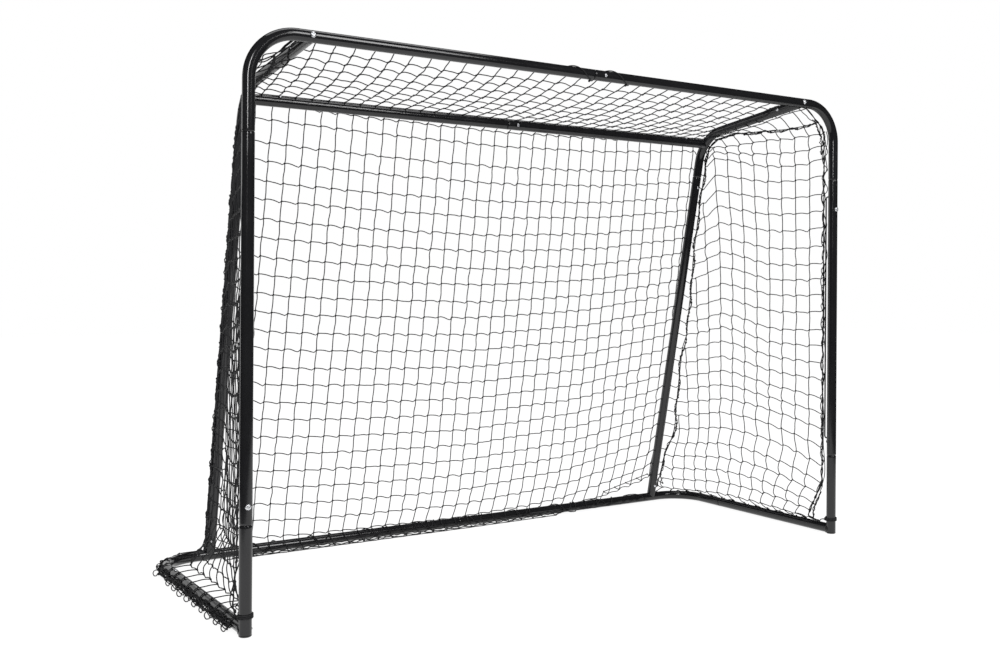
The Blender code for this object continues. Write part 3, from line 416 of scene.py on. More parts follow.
def main_sheet():
    """Knots of top and back in one sheet: from the crossbar over the rear bar to the base bar.

    A row of the back lies s = s0 - p * n up the slope from the base bar's axis, with s0 and the
    pitch p a little different at the two stays, where the sheet is held higher.
    """
    slope = unit(np.array([SHOULDER_DEPTH - BASE_DEPTH, SHOULDER_HEIGHT - BASE_Z]))
    behind = np.array([slope[1], -slope[0]])
    crest_row, rows = TOP_ROWS + 1, TOP_ROWS + BACK_ROWS
    crest = np.array(REAR_BAR) + REACH * np.array([math.cos(2.0), math.sin(2.0)])
    left, right = (np.concatenate([at(arm, np.linspace(0, 1, crest_row + 1)),
                                   at(stay, np.linspace(0, 1, rows - crest_row + 1))[1:]])
                   for arm, stay in (seam_line(-1), seam_line(1)))
    across = np.linspace(-1, 1, COLUMNS + 1)
    knots = np.zeros((rows + 1, COLUMNS + 1, 3))
    for row in range(rows + 1):
        x = np.interp(across, [-1, 1], [left[row, 0], right[row, 0]])
        knots[row, :, 0] = x
        if row <= TOP_ROWS:
            t = row / TOP_ROWS
            knots[row, :, 1] = 0.034 * (1 - t) + crest[0] * t
            knots[row, :, 2] = (crossbar_height(x) - 0.002) * (1 - t) + crest[1] * t
            if row:
                drop = np.interp(x, TOP_WAVE_X, TOP_WAVE_DROP) / 1000
                knots[row, :, 2] -= drop * (1 - t) + 0.002 * math.sin(math.pi * t)
            continue
        n = row - crest_row - 1         # the row's number under the rear bar
        lift = np.interp(x, BACK_X, [0.018, 0.005, 0, 0.010, 0.038])
        pitch = np.interp(x, BACK_X, [0.0427, 0.0431, 0.0433, 0.0424, 0.0400])
        s = 1.039 + lift - pitch * n + (0.007 if n == 0 else 0)
        place = np.array([BASE_DEPTH, BASE_Z]) + s[:, None] * slope + behind * REACH
        # The last rows pass in front of the base bar and then run forward on the floor
        place[s < 0.022] = (BASE_DEPTH - 0.016, BASE_Z)
        on_floor = s < -0.012
        place[on_floor] = np.c_[BASE_DEPTH - 0.030 + 0.20 * s[on_floor], 0.0025 + 0 * s[on_floor]]
        knots[row, :, 1:] = place
    knots[:rows, 0] = left[:rows]
    knots[:rows, -1] = right[:rows]
    knots[rows, [0, -1]] = knots[rows - 1, [0, -1]] + (0, -0.012, -0.030)
    pinned = np.zeros((rows + 1, COLUMNS + 1), bool)
    pinned[[0, TOP_ROWS, crest_row, rows]] = True
    pinned |= knots[:, :, 2] < 0.02
    pinned[:, [0, -1]] = True
    number = np.arange(knots[:, :, 0].size).reshape(pinned.shape)
    level = np.stack([number[:, :-1], number[:, 1:]], -1).reshape(-1, 2)
    upright = np.stack([number[:-1], number[1:]], -1).reshape(-1, 2)
    strings = np.concatenate([np.c_[level, np.zeros(len(level), int)],
                              np.c_[upright, np.ones(len(upright), int)]])
    return knots.reshape(-1, 3), pinned.ravel(), strings


def side_row(side, down, front_z, crease_z):
    """Front and crease knots of a side panel's row, which lies at share down of all rows.

    Below the arm the right crease opens away from its stay and is tucked in towards the mouth.
    """
    if side < 0:
        inset = np.interp(front_z, [0.10, 0.35, 0.66, 0.74], [0.002, 0.006, 0.006, 0.010])
        back = np.interp(front_z, [0.05, 0.12, 0.62, 0.72], [0.079, 0.060, 0.060, 0.031])
        crease = (-np.interp(crease_z, [0.03, 0.07, 0.13, 0.80, 1.08],
                             [0.768, 0.758, 0.732, 0.727, 0.704]),
                  np.interp(crease_z, [0.03, 0.07, 0.13, 0.80, 1.00, 1.08],
                            [0.405, 0.400, 0.380, 0.372, 0.366, 0.362]), crease_z)
    else:
        inset, back = 0.002, 0.031 + 0.048 * np.clip((0.14 - front_z) / 0.1, 0, 1)
        opened = np.clip((1.08 - crease_z) / 0.35, 0, 1)
        opened = 0.55 * opened ** 2 * (3 - 2 * opened) + 0.45 * down
        tuck = np.interp(down, [0, 0.2, 0.4, 0.92, 1], [0, 0.62, 1, 1, 0.4])
        aside = np.interp(crease_z, [0.15, 0.35, 0.60, 0.85, 1.02], [0, 0.012, 0.012, 0.009, 0.0])
        crease = (0.706 + 0.094 * opened - 0.044 * tuck + aside,
                  0.362 + 0.078 * opened - 0.048 * tuck,
                  crease_z + (CAMERA_PLACE[2] - crease_z) * 0.019 * tuck)
    return np.array([side * (POST_X - inset), back, front_z]), np.array(crease)


def before_crease(side, row, cell, front, crease):
    """Place of a side panel's knot between its front and its crease, where the net sags."""
    t = cell / CREASE_CELLS
    place = front * (1 - t) + crease * t
    if side < 0:
        hollow = np.interp(front[2], [0.08, 0.20, 0.60, 0.85], [0, 1, 1, 0])
        place[2] = front[2] + (crease[2] - front[2]) * t
        place[2] -= 0.014 * hollow * math.sin(math.pi * t)
        return place
    late = np.clip((t - 0.4) / 0.6, 0, 1)
    late = late ** 2 * (3 - 2 * late)
    rise = np.interp(front[2], [0.25, 0.55], [1 - (1 - t) ** 2, late])
    place[2] = front[2] + (crease[2] - front[2]) * rise
    hollow = np.interp(row, [0, 1, 2, 3, 4, 5, 8, 16], [0, 8, 18, 17, 11, 8, 6, 0]) / 1000
    place[2] -= hollow * np.interp(cell, [0, 1, 2, 3, 5, 8], [0, 0.75, 0.95, 1, 0.8, 0])
    zigzag = 0.0048 * (-1) ** row * np.interp(row, [18, 21], [0, 1])
    place[:2] += unit((crease - front)[:2]) * zigzag
    return place


def beside_base(place, cell, from_last):
    """Place of a knot of the left panel, whose last two rows lie beside the base tube."""
    if from_last < -2:
        return place
    share = np.interp(cell, [0, 1, 2, 9, 12], [0, 0.6, 1, 1, 0]) * (1.0 if from_last == -1 else 0.5)
    beside = (-POST_X + 0.036, 0.038 + HEM_PITCH * cell, 0.034 if from_last == -1 else 0.062)
    return place * (1 - share) + np.array(beside) * share


def side_sheet(side):
    """Knots of a side panel: rows from the arm's seam to the base tube, cells from post to stay.

    Also its strings, as (knot, knot, 0 if level and 1 if upright), its front edge and its hem.
    """
    arm, stay = seam_line(side)
    base = base_axis(side, 0.050, 0.700)
    post_rows, crease_rows = ((POST_ROWS, CREASE_ROWS) if side > 0
                              else (LEFT_POST_ROWS, LEFT_CREASE_ROWS))
    rows = len(post_rows)
    index, knots, pinned, last = {}, [], [], []

    def knot(cell, row, place, held):
        """Number one more knot."""
        index[cell, row] = len(knots)
        knots.append(np.array(place, float))
        pinned.append(held)

    for row, (front_z, crease_z) in enumerate(zip(post_rows, crease_rows)):
        cells = CREASE_CELLS + 0.5 + 0.2 * max(0, row - 1)     # each row is wider than the last
        front, crease = side_row(side, row / (rows - 1), front_z, crease_z)
        # From the crease to the stay's seam the row falls by so much
        fall = np.interp(crease_z, [0.07, 0.15, 0.30, 0.55, 0.86, 1.0, 1.09],
                         [0.006, 0.012, 0.022, 0.030, 0.046, 0.044, 0.010])
        end = np.array([np.interp(crease_z - fall, stay[::-1, 2], stay[::-1, i]) for i in range(3)])
        count = int(math.ceil(cells - 0.15))
        last.append(count)
        for cell in range(count + 1):
            if row == 0 and cell <= CREASE_CELLS:
                knot(cell, row, at(arm, cell / CREASE_CELLS), True)
            elif cell in (0, count):
                knot(cell, row, end if cell else front, True)
            else:
                if cell <= CREASE_CELLS:
                    place = before_crease(side, row, cell, front, crease)
                else:
                    t = (cell - CREASE_CELLS) / (cells - CREASE_CELLS)
                    place = crease * (1 - t) + end * t
                knot(cell, row, place if side > 0 else beside_base(place, cell, row - rows), False)
    shares = np.minimum(np.arange(count + 1) * HEM_PITCH / walked(base)[-1], 1)
    on_tube = at(base, shares)
    outward = np.cross(unit(at(base, shares + 0.01) - at(base, shares - 0.01)), (0, 0, 1)) * side
    low = (rows + 1, 0.0180, -0.0070) if side > 0 else (rows + 1, 0.0165, -0.0050)
    for row, out, height in ((rows, 0.0030, REACH), low):
        last.append(count)
        for cell in range(count + 1):
            knot(cell, row, on_tube[cell] + outward[cell] * out + (0, 0, height), True)
    strings = []
    for (cell, row), number in index.items():
        if (cell + 1, row) in index and row != rows:
            strings.append((number, index[cell + 1, row], 0))
        if (cell, row + 1) in index and not (cell == last[row] and cell != last[row + 1]):
            strings.append((number, index[cell, row + 1], 1))
        if row and (cell, row - 1) not in index and (last[row - 1], row - 1) in index:
            strings.append((index[last[row - 1], row - 1], number, 1))
    front_edge = [index[0, row] for row in range(rows + 1)]
    hem = [index[cell, rows + 1] for cell in range(count + 1)]
    return np.array(knots), np.array(pinned), np.array(strings), front_edge, hem


def sweep(lines, radius, sides, square=None):
    """Round cords or tubes along lines of shape (number, points, 3).

    Ring vertex j of point p: p + radius * (cos(2 pi j / sides) * a + sin(2 pi j / sides) * b),
    with a and b square to the line there. Gives vertices, quad faces and their (turn, cm) map.
    """
    lines = np.asarray(lines, float)
    number, count = lines.shape[:2]
    ahead = unit(np.gradient(lines, axis=1))
    if square is None:
        chord = unit(lines[:, -1] - lines[:, 0] + 1e-9)
        square = np.where(np.abs(chord[:, 2:]) > 0.8, (1.0, 0, 0), (0, 0, 1.0))[:, None]
    a = unit(np.cross(ahead, square))
    b = np.cross(ahead, a)
    turn = np.arange(sides) * 2 * math.pi / sides
    ring = np.cos(turn)[:, None] * a[:, :, None] + np.sin(turn)[:, None] * b[:, :, None]
    points = lines[:, :, None] + np.asarray(radius)[..., None, None] * ring
    grid = np.arange(number * count * sides).reshape(number, count, sides)
    here, there = grid[:, :-1], grid[:, 1:]
    faces = np.stack([here, np.roll(here, -1, 2), np.roll(there, -1, 2), there], -1)
    far = np.zeros((number, count))
    far[:, 1:] = np.cumsum(np.linalg.norm(np.diff(lines, axis=1), axis=2), axis=1) * 100
    u = np.arange(sides) / sides
    lay = np.zeros((*faces.shape, 2))
    lay[..., 0] = np.stack([u, u + 1 / sides, u + 1 / sides, u], -1)
    lay[..., :2, 1] = far[:, :-1, None, None]
    lay[..., 2:, 1] = far[:, 1:, None, None]
    return points.reshape(-1, 3), faces.reshape(-1, 4), lay.reshape(-1, 4, 2)


def turned(profile, centre, axis, sides, shape):
    """Solid of revolution from (distance along the axis, radius) pairs.

    shape gives, for each ring, None or factors over the turn that make it a hexagon or a cross.
    """
    axis = unit(np.array(axis, float))
    helper = np.array((0, 0, 1.0)) if abs(axis[2]) < 0.9 else np.array((1.0, 0, 0))
    a = unit(np.cross(axis, helper))
    b = np.cross(axis, a)
    turn = np.arange(sides) * 2 * math.pi / sides
    ring = np.cos(turn)[:, None] * a + np.sin(turn)[:, None] * b
    rings = []
    for (far, radius), factors in zip(profile, shape):
        factor = factors(turn) if factors else np.ones(sides)
        rings.append(centre + axis * far + ring * (radius * factor)[:, None])
    grid = np.arange(len(profile) * sides).reshape(len(profile), sides)
    here, there = grid[:-1], grid[1:]
    faces = np.stack([here, np.roll(here, -1, 1), np.roll(there, -1, 1), there], -1).reshape(-1, 4)
    return np.concatenate(rings), faces, np.zeros((len(faces), 4, 2))


def round_box():
    """Small ball of 24 quads: the surface of a 3 x 3 x 3 lattice, drawn to radius 1."""
    lattice = [(x, y, z) for x in (-1, 0, 1) for y in (-1, 0, 1) for z in (-1, 0, 1)
               if (x, y, z) != (0, 0, 0)]
    number = {place: i for i, place in enumerate(lattice)}
    faces = []
    for axis in range(3):
        for end in (-1, 1):
            for u in (-1, 0):
                for v in (-1, 0):
                    quad = []
                    for du, dv in ((0, 0), (1, 0), (1, 1), (0, 1)):
                        place = [u + du, v + dv]
                        place.insert(axis, end)
                        quad.append(number[tuple(place)])
                    faces.append(quad if (end > 0) == (axis != 1) else quad[::-1])
    return unit(np.array(lattice, float)), np.array(faces)


def knots_at(centres, along, across, size):
    """One slanted, slightly uneven knot at each centre."""
    ball, faces = round_box()
    long_axis = unit(along)
    second = unit(across - (across * long_axis).sum(1)[:, None] * long_axis)
    third = np.cross(long_axis, second)
    scale = np.array(size) * (1 + CHANCE.uniform(-0.15, 0.15, (len(centres), 3)))
    points = (centres[:, None] + ball[None, :, :1] * (long_axis * scale[:, :1])[:, None]
              + ball[None, :, 1:2] * (second * scale[:, 1:2])[:, None]
              + ball[None, :, 2:] * (third * scale[:, 2:])[:, None])
    shift = (np.arange(len(centres)) * len(ball))[:, None, None]
    faces = (faces[None] + shift).reshape(-1, 4)
    return points.reshape(-1, 3), faces, np.zeros((len(faces), 4, 2))


def tied_knots(places, size):
    """Knots that lean every way."""
    lift = unit(CHANCE.normal(0, 1, places.shape))
    return knots_at(places, lift, lift[:, ::-1] + 0.01, size)


def twine_lines(knots, pinned, strings, bow):
    """Curves of the strings between knots.

    t runs 0 to 1 along a string. A level string dips by d * t^5.7 (1 - t) / 0.0594, deepest at
    t = 0.85, before it climbs into the next knot. An upright one whose knots stand closer than
    a cell bows aside by a * sin(pi t), a = bow * sqrt(c (L - c)) for chord c and length L.
    """
    one, two = knots[strings[:, 0]], knots[strings[:, 1]]
    count = len(one)
    t = np.linspace(0, 1, STRING_POINTS)[None, :, None]
    chord = two - one
    size = np.linalg.norm(chord, axis=1)[:, None, None]
    lines = one[:, None] * (1 - t) + two[:, None] * t
    level = (strings[:, 2] == 0)[:, None, None]
    right = np.where((chord[:, 0] < 0)[:, None, None] & level, 1 - t, t)
    held = np.stack([pinned[strings[:, 0]], pinned[strings[:, 1]]])
    loose = 1 - 0.9 * held.all(0)[:, None, None]
    dip = CHANCE.uniform(0.0024, 0.0050, (count, 1, 1)) * np.minimum(size / 0.043, 1.2) * loose
    hook = right ** 5.7 * (1 - right) / 0.0594 - 3.2 * (1 - right) ** 6 * right
    bow = (bow * np.where(held.any(0), 0.3, 1.0))[:, None, None]
    bow = bow * np.sqrt(np.maximum(size * (0.0428 - size), 0)) * np.sin(math.pi * t)
    aside = unit(np.cross(chord, (0.25, -0.97, 0)))[:, None]
    aside = aside * np.where(aside[..., :1] > 0, -1, 1) * CHANCE.uniform(0.3, 1.3, (count, 1, 1))
    lines = lines + np.where(level, dip * hook * np.array([0, 0, -1.0]), bow * aside)
    lines += CHANCE.normal(0, 0.0008, (count, 1, 3)) * np.sin(math.pi * t) * loose
    lines += CHANCE.normal(0, 0.0005, (count, 1, 3)) * np.sin(2 * math.pi * t) * loose
    flat = lines.reshape(-1, 3)
    push_out(flat, REACH)
    flat[:, 2] = np.maximum(flat[:, 2], TWINE)
    return flat.reshape(lines.shape)


def linked(name, data):
    """New object in the scene."""
    made = bpy.data.objects.new(name, data)
    scene.collection.objects.link(made)
    return made


def add_piece(name, parts, slot="net_twine", stands_for=(), finish=None):
    """Make one smooth-shaded object out of quads, in place of the CAD nodes it stands for."""
    points, quads, lays = zip(*parts)
    shifts = np.cumsum([0, *map(len, points[:-1])])
    faces = np.concatenate([quad + shift for quad, shift in zip(quads, shifts)])
    points, lays = np.concatenate(points), np.concatenate(lays)
    mesh = bpy.data.meshes.new(name)
    mesh.vertices.add(len(points))
    mesh.vertices.foreach_set("co", (points + (0, SHIFT_Y, 0)).ravel())
    mesh.loops.add(faces.size)
    mesh.loops.foreach_set("vertex_index", faces.ravel())
    mesh.polygons.add(len(faces))
    mesh.polygons.foreach_set("loop_start", np.arange(0, faces.size, 4))
    mesh.update(calc_edges=True)
    mesh.uv_layers.new(name="lay").data.foreach_set("uv", lays.ravel())
    mesh.shade_smooth()
    mesh.set_sharp_from_angle(angle=math.radians(SHARP_EDGE))
    mesh.materials.append(finish or finishes[slot])
    piece = linked(name, mesh)
    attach(piece, "root")
    if stands_for:
        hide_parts(*stands_for)


def dress(node, word, parts, slot="net_twine"):
    """Piece in place of one CAD node, named after it with a word put before its last one."""
    start, end = node.rsplit("_", 1)
    add_piece(f"{start}_{word}_{end}", parts, slot, [node])


def sheet_parts(knots, pinned, strings, bow=BOW):
    """Twine and knots of a net panel."""
    lines = twine_lines(knots, pinned, strings, bow)
    used = np.unique(strings[:, :2])
    across = np.zeros_like(knots)
    level = strings[strings[:, 2] == 0]
    run = knots[level[:, 1]] - knots[level[:, 0]]
    run *= np.where(run[:, :1] < 0, -1, 1)
    np.add.at(across, level[:, 0], run)
    np.add.at(across, level[:, 1], run)
    across = unit(across + (1e-6, 0, 0))
    lift = unit(across + (0, 0, 0.85))
    centres = knots[used]
    centres[:, 2] = np.maximum(centres[:, 2], 0.0036)
    balls = knots_at(centres, lift[used], np.cross(lift, across)[used],
                     (0.0031, 0.0021, 0.0021))
    return [sweep(lines, np.full((1, 1), TWINE), 5), balls]


def smooth_line(points, spacing=0.003):
    """Curve through points (Catmull-Rom), sampled about every spacing."""
    points = np.asarray(points, float)
    ends = np.concatenate([[2 * points[0] - points[1]], points, [2 * points[-1] - points[-2]]])
    p0, p1, p2, p3 = ends[:-3], ends[1:-2], ends[2:-1], ends[3:]
    steps = max(2, int(math.ceil(walked(points)[-1] / (len(points) - 1) / spacing)))
    t = np.linspace(0, 1, steps, endpoint=False)[None, :, None]
    p0, p1, p2, p3 = (p[:, None] for p in (p0, p1, p2, p3))
    curve = 0.5 * (2 * p1 + (p2 - p0) * t + (2 * p0 - 5 * p1 + 4 * p2 - p3) * t ** 2
                   + (3 * p1 - p0 - 3 * p2 + p3) * t ** 3)
    return np.concatenate([curve.reshape(-1, 3), points[-1:]])


def stray(line, amplitude, wave):
    """A line with soft uneven sideways waves, about one each wave length."""
    far = walked(line)[:, None]
    out = line.copy()
    for part in (0.55, 1.0, 1.9):
        phase = CHANCE.uniform(0, 6.28, (1, 3))
        out += amplitude * 0.6 * np.sin(2 * math.pi * far / (wave / part) + phase)
    return out


def transported(line, radius, sides=7):
    """Sweep along any line with rings that turn as little as possible along it."""
    ahead = unit(np.gradient(line, axis=0))
    a = np.empty_like(line)
    a[0] = unit(np.cross(ahead[0], (0.31, 0.17, 0.93)))
    for i in range(1, len(line)):
        a[i] = unit(a[i - 1] - ahead[i] * (a[i - 1] @ ahead[i]))
    return sweep(line[None], np.full((1, 1), radius), sides, -np.cross(ahead, a)[None])


def cord(points, radius, amplitude=0.0, wave=0.05, clear=True, spacing=0.003):
    """One free-form cord through points, kept outside the tubes and above the floor."""
    line = smooth_line(points, spacing)
    if amplitude:
        line = stray(line, amplitude, wave)
    if clear:
        push_out(line, TUBE_RADIUS + radius + 0.0003)
    line[:, 2] = np.maximum(line[:, 2], radius + 0.0002)
    return transported(line, radius)


def add_seams(side, word):
    """Two loosely twisted cords that join a side panel to the top and back panels."""
    arm, stay = seam_line(side)
    line = smooth_line(np.concatenate([arm, stay[1:]]))
    far = walked(line)[:, None]
    line += np.abs(np.sin(math.pi * far / (2 * CELL))) * (0, 0, -0.0045)
    wander = 0.0028 if side > 0 else 0.0012
    line += np.sin(2 * math.pi * far / 0.130 + 1.0) * (-side * wander, wander, 0)
    parts = []
    for turn in (0, math.pi):
        phase = 2 * math.pi * far / 0.021 + turn
        path = line + 0.0013 * np.hstack([np.cos(phase), np.sin(phase), np.sin(phase * 0.5)])
        path = stray(path, 0.0016, 0.045)
        push_out(path, TUBE_RADIUS + HEM_CORD)
        parts.append(transported(path, HEM_CORD))
    ties = at(line, np.arange(CELL / 2, far[-1, 0], CELL) / far[-1, 0])
    ties += CHANCE.normal(0, 0.0010, ties.shape)
    add_piece("seam_cord_" + word, parts + [tied_knots(ties, (0.0044, 0.0032, 0.0030))])


def add_post_lacing(side, word, edge):
    """Hem cord down a side panel's front edge and the cord that laces it to post and bend."""
    parts = [cord(edge, HEM_CORD, 0.0018, 0.060),
             cord(edge + (0, 0.0012, 0), HEM_CORD * 0.9, 0.0036, 0.110)]
    path = [(side * 0.700, 0.0255, CROSSBAR_Z - 0.009)]
    for degrees, inward in ((82, 0.022), (62, 0.027), (45, 0.018), (28, 0.024), (8, 0.017)):
        a, near = math.radians(degrees), CORNER_BEND - inward
        path.append((side * (POST_X - CORNER_BEND) + side * near * math.cos(a), 0.026,
                     CROSSBAR_Z - CORNER_BEND + near * math.sin(a)))
    height = 1.045
    while height > 0.11:        # from the bend's lower end to just above the foot's weld
        path.append((side * (POST_X - 0.004), 0.0160 if height > 0.93 else 0.0275, height))
        height -= CHANCE.uniform(0.018, 0.034)
        back = 0.0335 if side > 0 else np.interp(height, [0.62, 0.72], [0.0560, 0.0335])
        path.append((side * (POST_X - 0.006), back, height))
        height -= CHANCE.uniform(0.018, 0.034)
    parts.append(cord(path, THIN_CORD, 0.0010))
    if side > 0:        # two slack strands along the edge, three tangled in the bend's corner
        parts += [cord(edge[first:last] + (0, back, 0), THIN_CORD, 0.0040, 0.15)
                  for first, last, back in ((1, 14, -0.005), (9, 24, -0.004))]
        corner = np.array([(0.768, 0.030, 1.130), (0.781, 0.027, 1.114), (0.789, 0.031, 1.096),
                           (0.795, 0.027, 1.078), (0.798, 0.031, 1.058), (0.801, 0.029, 1.036)])
        parts += [cord(corner + CHANCE.normal(0, 0.0032, (6, 3)), THIN_CORD, 0.0018, 0.024)
                  for turn in range(3)]
    # Loose ends bundled at the foot
    tail = np.array([path[-1], (side * 0.805, 0.046, 0.075), (side * 0.800, 0.052, 0.060),
                     (side * 0.806, 0.060, 0.040), (side * 0.803, 0.055, 0.030)])
    parts += [cord(tail + CHANCE.normal(0, 0.002, (5, 3)), THIN_CORD, 0.001, 0.02)
              for turn in range(3)]
    heights = (1.030, 0.905, 0.770, 0.655, 0.520, 0.405, 0.300, 0.195, 0.130, 0.088, 0.072)
    places = np.stack([np.interp(heights, edge[::-1, 2], edge[::-1, i]) for i in range(3)], -1)
    dress("post_lacing_" + word, "cord", parts + [tied_knots(places, (0.0045, 0.0032, 0.0030))])


def add_crossbar_lacings(row):
    """Hem cord of the top net's front edge and the cord that laces it to the rods."""
    for side, word in SIDES:
        edge = row[row[:, 0] * side > 0]
        hem = cord(edge[np.argsort(edge[:, 0] * side)], HEM_CORD, 0.0008)
        path, x = [], CROSSBAR_ROD[0]
        while x < CROSSBAR_ROD[1] - 0.003:
            for back, lower in ((0.0275, 0.003), (0.0350, 0.001)):
                path.append((side * x, back, CROSSBAR_Z - lower))
                x += CHANCE.uniform(0.024, 0.044)
        dress("crossbar_lacing_" + word, "cord", [hem, cord(path, THIN_CORD, 0.0008)])


def wound(axis_point, axis, start, pitch, turns, first):
    """Cord wound round a tube: its helix starts at `first`, an angle in turns."""
    axis = np.array(axis, float)
    helper = np.array((0, 0, 1.0)) if abs(axis[2]) < 0.9 else np.array((0, -1.0, 0))
    a = unit(np.cross(axis, helper))
    b = np.cross(axis, a)
    t = np.linspace(0, turns, int(abs(turns) * 26) + 2)[:, None]
    angle = 2 * math.pi * (t + first)
    line = (np.array(axis_point) + axis * (start + pitch * t)
            + WRAP_RADIUS * (np.cos(angle) * a + np.sin(angle) * b))
    return transported(line, HEM_CORD)


def knob(place, along, across, size):
    """One small knot."""
    return knots_at(*(np.array([three], float) for three in (place, along, across)), size)


def add_centre_lacing():
    """Two slanting turns of cord round the crossbar's centre joint, each tied off below."""
    parts = [wound((0, 0, CROSSBAR_Z), (1, 0, 0), CENTRE_WRAP, 0.106, 2.05, 0.4)]
    parts += [knob((CENTRE_WRAP + far, 0.0060, CROSSBAR_Z - 0.0142), (1.0, 0.4, 0.3),
                   (0, 0.2, 1.0), (0.0040, 0.0028, 0.0028)) for far in (0.090, 0.196)]
    add_piece("crossbar_centre_wrap", parts, stands_for=["crossbar_centre_lacing"])


def weave(line, middle, swing, pitch, radius, out):
    """Cord that swings over a tube, in degrees from its top towards `out`, its hem's side."""
    length = walked(line)[-1]
    share = np.linspace(0, 1, int(length / 0.003))
    centre = at(line, share)
    outward = np.cross(unit(np.gradient(centre, axis=0)), (0, 0, 1)) * out
    beat = share * length / pitch + 0.12 * np.sin(share * length * 40 + CHANCE.uniform(0, 6))
    angle = np.radians(middle + swing * np.sin(2 * math.pi * beat))[:, None]
    reach = TUBE_RADIUS + radius + 0.0004
    line = centre + reach * (outward * np.sin(angle) + np.array([0, 0, 1.0]) * np.cos(angle))
    return transported(line, radius)


def add_base_lacing(side, word, hem):
    """Lacing over a base side tube, the net's hem cord and its loops on the outer side."""
    line = base_axis(side, 0.046, 0.71)
    middle, swing = (35, 88) if side > 0 else (92, 44)
    parts = [weave(line, middle, swing, 0.097, HEM_CORD * 0.85, side)]
    turn = np.linspace(-0.5, 1.5, 9)[:-1] * math.pi
    loops, outwards = [], []
    for here, after in zip(hem, hem[1:]):
        outward = unit(np.cross(after - here, (0, 0, side)) * (1, 1, 0))
        outwards.append(outward)
        size = CHANCE.uniform(0.0045, 0.0065) + (0.0008 if side < 0 else 0)
        ahead = unit(after - here)
        centre = here + outward * ((0.006 if side > 0 else 0.002) + size)
        loops.append(here + outward * 0.004)
        if CHANCE.random() < LOOP_CHANCE:
            loops += [centre + size * (math.cos(t) * outward + 0.35 * math.sin(t) * ahead)
                      + np.array([0, 0, size * math.sin(t)]) for t in turn]
        loops.append((here + after) / 2 + outward * CHANCE.uniform(0.002, 0.008))
    parts.append(cord(loops, THIN_CORD, 0.0004, 0.04, spacing=0.0025))
    outwards = np.array(outwards + outwards[-1:])
    # Hem strands: how far out and up they lie, their share of the cord's radius, their waves
    strands = [(0, 0.004, 1.0, 0.05), (0, 0.001, 0.9, 0.035), (0, -0.001, 0.8, 0.028)]
    if side < 0:
        strands += [(0.0035, 0.002, 1.0, 0.04), (-0.002, 0.009, 1.0, 0.045),
                    (0.002, 0.006, 1.0, 0.03), (-0.001, 0.012, 0.9, 0.06)]
    for out, lift, thick, wave in strands:
        beside = hem + CHANCE.normal(0, 0.0015, hem.shape) + (0, 0, lift)
        parts.append(cord(beside + outwards * out, HEM_CORD * thick, 0.0026, wave))
    if side > 0:
        inner = at(line, np.linspace(0.02, 0.78, 22)) + (-0.0105, 0, 0.0100)
        parts.append(cord(inner, HEM_CORD, 0.0018, 0.033))
    dress("base_lacing_" + word, "cord", parts)


def add_rear_lacing():
    """Lacing over the rear base bar and the net's hem on the floor in front of it."""
    half = SIDE_FRAME_X - 0.025
    line = np.array([(x, BASE_DEPTH, BASE_Z) for x in (-half, 0, half)])
    parts = [weave(line, 0, 112, 0.150, HEM_CORD, -1)]
    x = np.arange(-0.64, 0.65, 0.0215)
    drop = np.arange(len(x)) % 2 * CHANCE.uniform(0.004, 0.016, len(x))
    lift = np.interp(x, [0.1, 0.65], [0.0, 0.010])
    hem = np.c_[x, BASE_DEPTH - 0.020 - drop, 0.0022 + lift]
    parts.append(cord(hem, HEM_CORD, 0.0012, 0.04))
    parts.append(cord(hem[::2] + (0.004, 0.004, 0.002), TWINE, 0.002))
    dress("base_lacing_rear", "cord", parts)


def add_foot_ties():
    """Turns of cord round the foot of each post, with a small knot."""
    for side, word in SIDES:
        turns = wound((side * POST_X, 0, 0), (0, 0, 1), 0.034, 0.0031, 3.3, 0.1)
        bow = knob((side * (POST_X - 0.012), 0.0105, 0.0385), (0.4, 0.5, 0.6), (0.7, -0.3, 0),
                   (0.0046, 0.0034, 0.0034))
        tail = [(side * (POST_X - inward), back, height) for inward, back, height in
                ((0.012, 0.012, 0.038), (0.016, 0.022, 0.034), (0.014, 0.036, 0.030),
                 (0.010, 0.048, 0.026))]
        dress("foot_tie_" + word, "cord", [turns, bow, cord(tail, HEM_CORD, 0.001, 0.03, False)])


def add_nets():
    """All four panels, the seams between them and every lacing."""
    laid, pinned, strings = main_sheet()
    wide = COLUMNS + 1
    crest_row = TOP_ROWS + 1
    top = strings[:, :2].max(1) < (crest_row + 1) * wide
    knots = hang(laid, pinned, strings, np.where(top, 1.0, 1.006), 500, 0.0003)
    roof = slice(0, TOP_ROWS * wide)            # the roof is taut: it keeps little of its sag
    knots[roof] = 0.25 * knots[roof] + 0.75 * laid[roof]
    pinned &= np.arange(len(pinned)) // wide != crest_row
    add_piece("top_net", sheet_parts(knots, pinned, strings[top]), stands_for=["net_top"])
    back = strings[~top]
    bow = np.where(back[:, :2].min(1) // wide == crest_row, UNDER_BAR_BOW, BOW)
    add_piece("back_net", sheet_parts(knots, pinned, back, bow), stands_for=["net_back"])
    for side, word in SIDES:
        knots, pinned, strings, edge, hem = side_sheet(side)
        knots = hang(knots, pinned, strings, 1.002, 60, 0.0001)
        parts = sheet_parts(knots, pinned, strings, BOW if side > 0 else LEFT_BOW)
        add_piece("side_net_" + word, parts, stands_for=["net_" + word])
        add_seams(side, word)
        add_post_lacing(side, word, knots[edge])
        add_base_lacing(side, word, knots[hem])
    add_crossbar_lacings(laid[:wide])
    add_centre_lacing()
    add_rear_lacing()
    add_foot_ties()


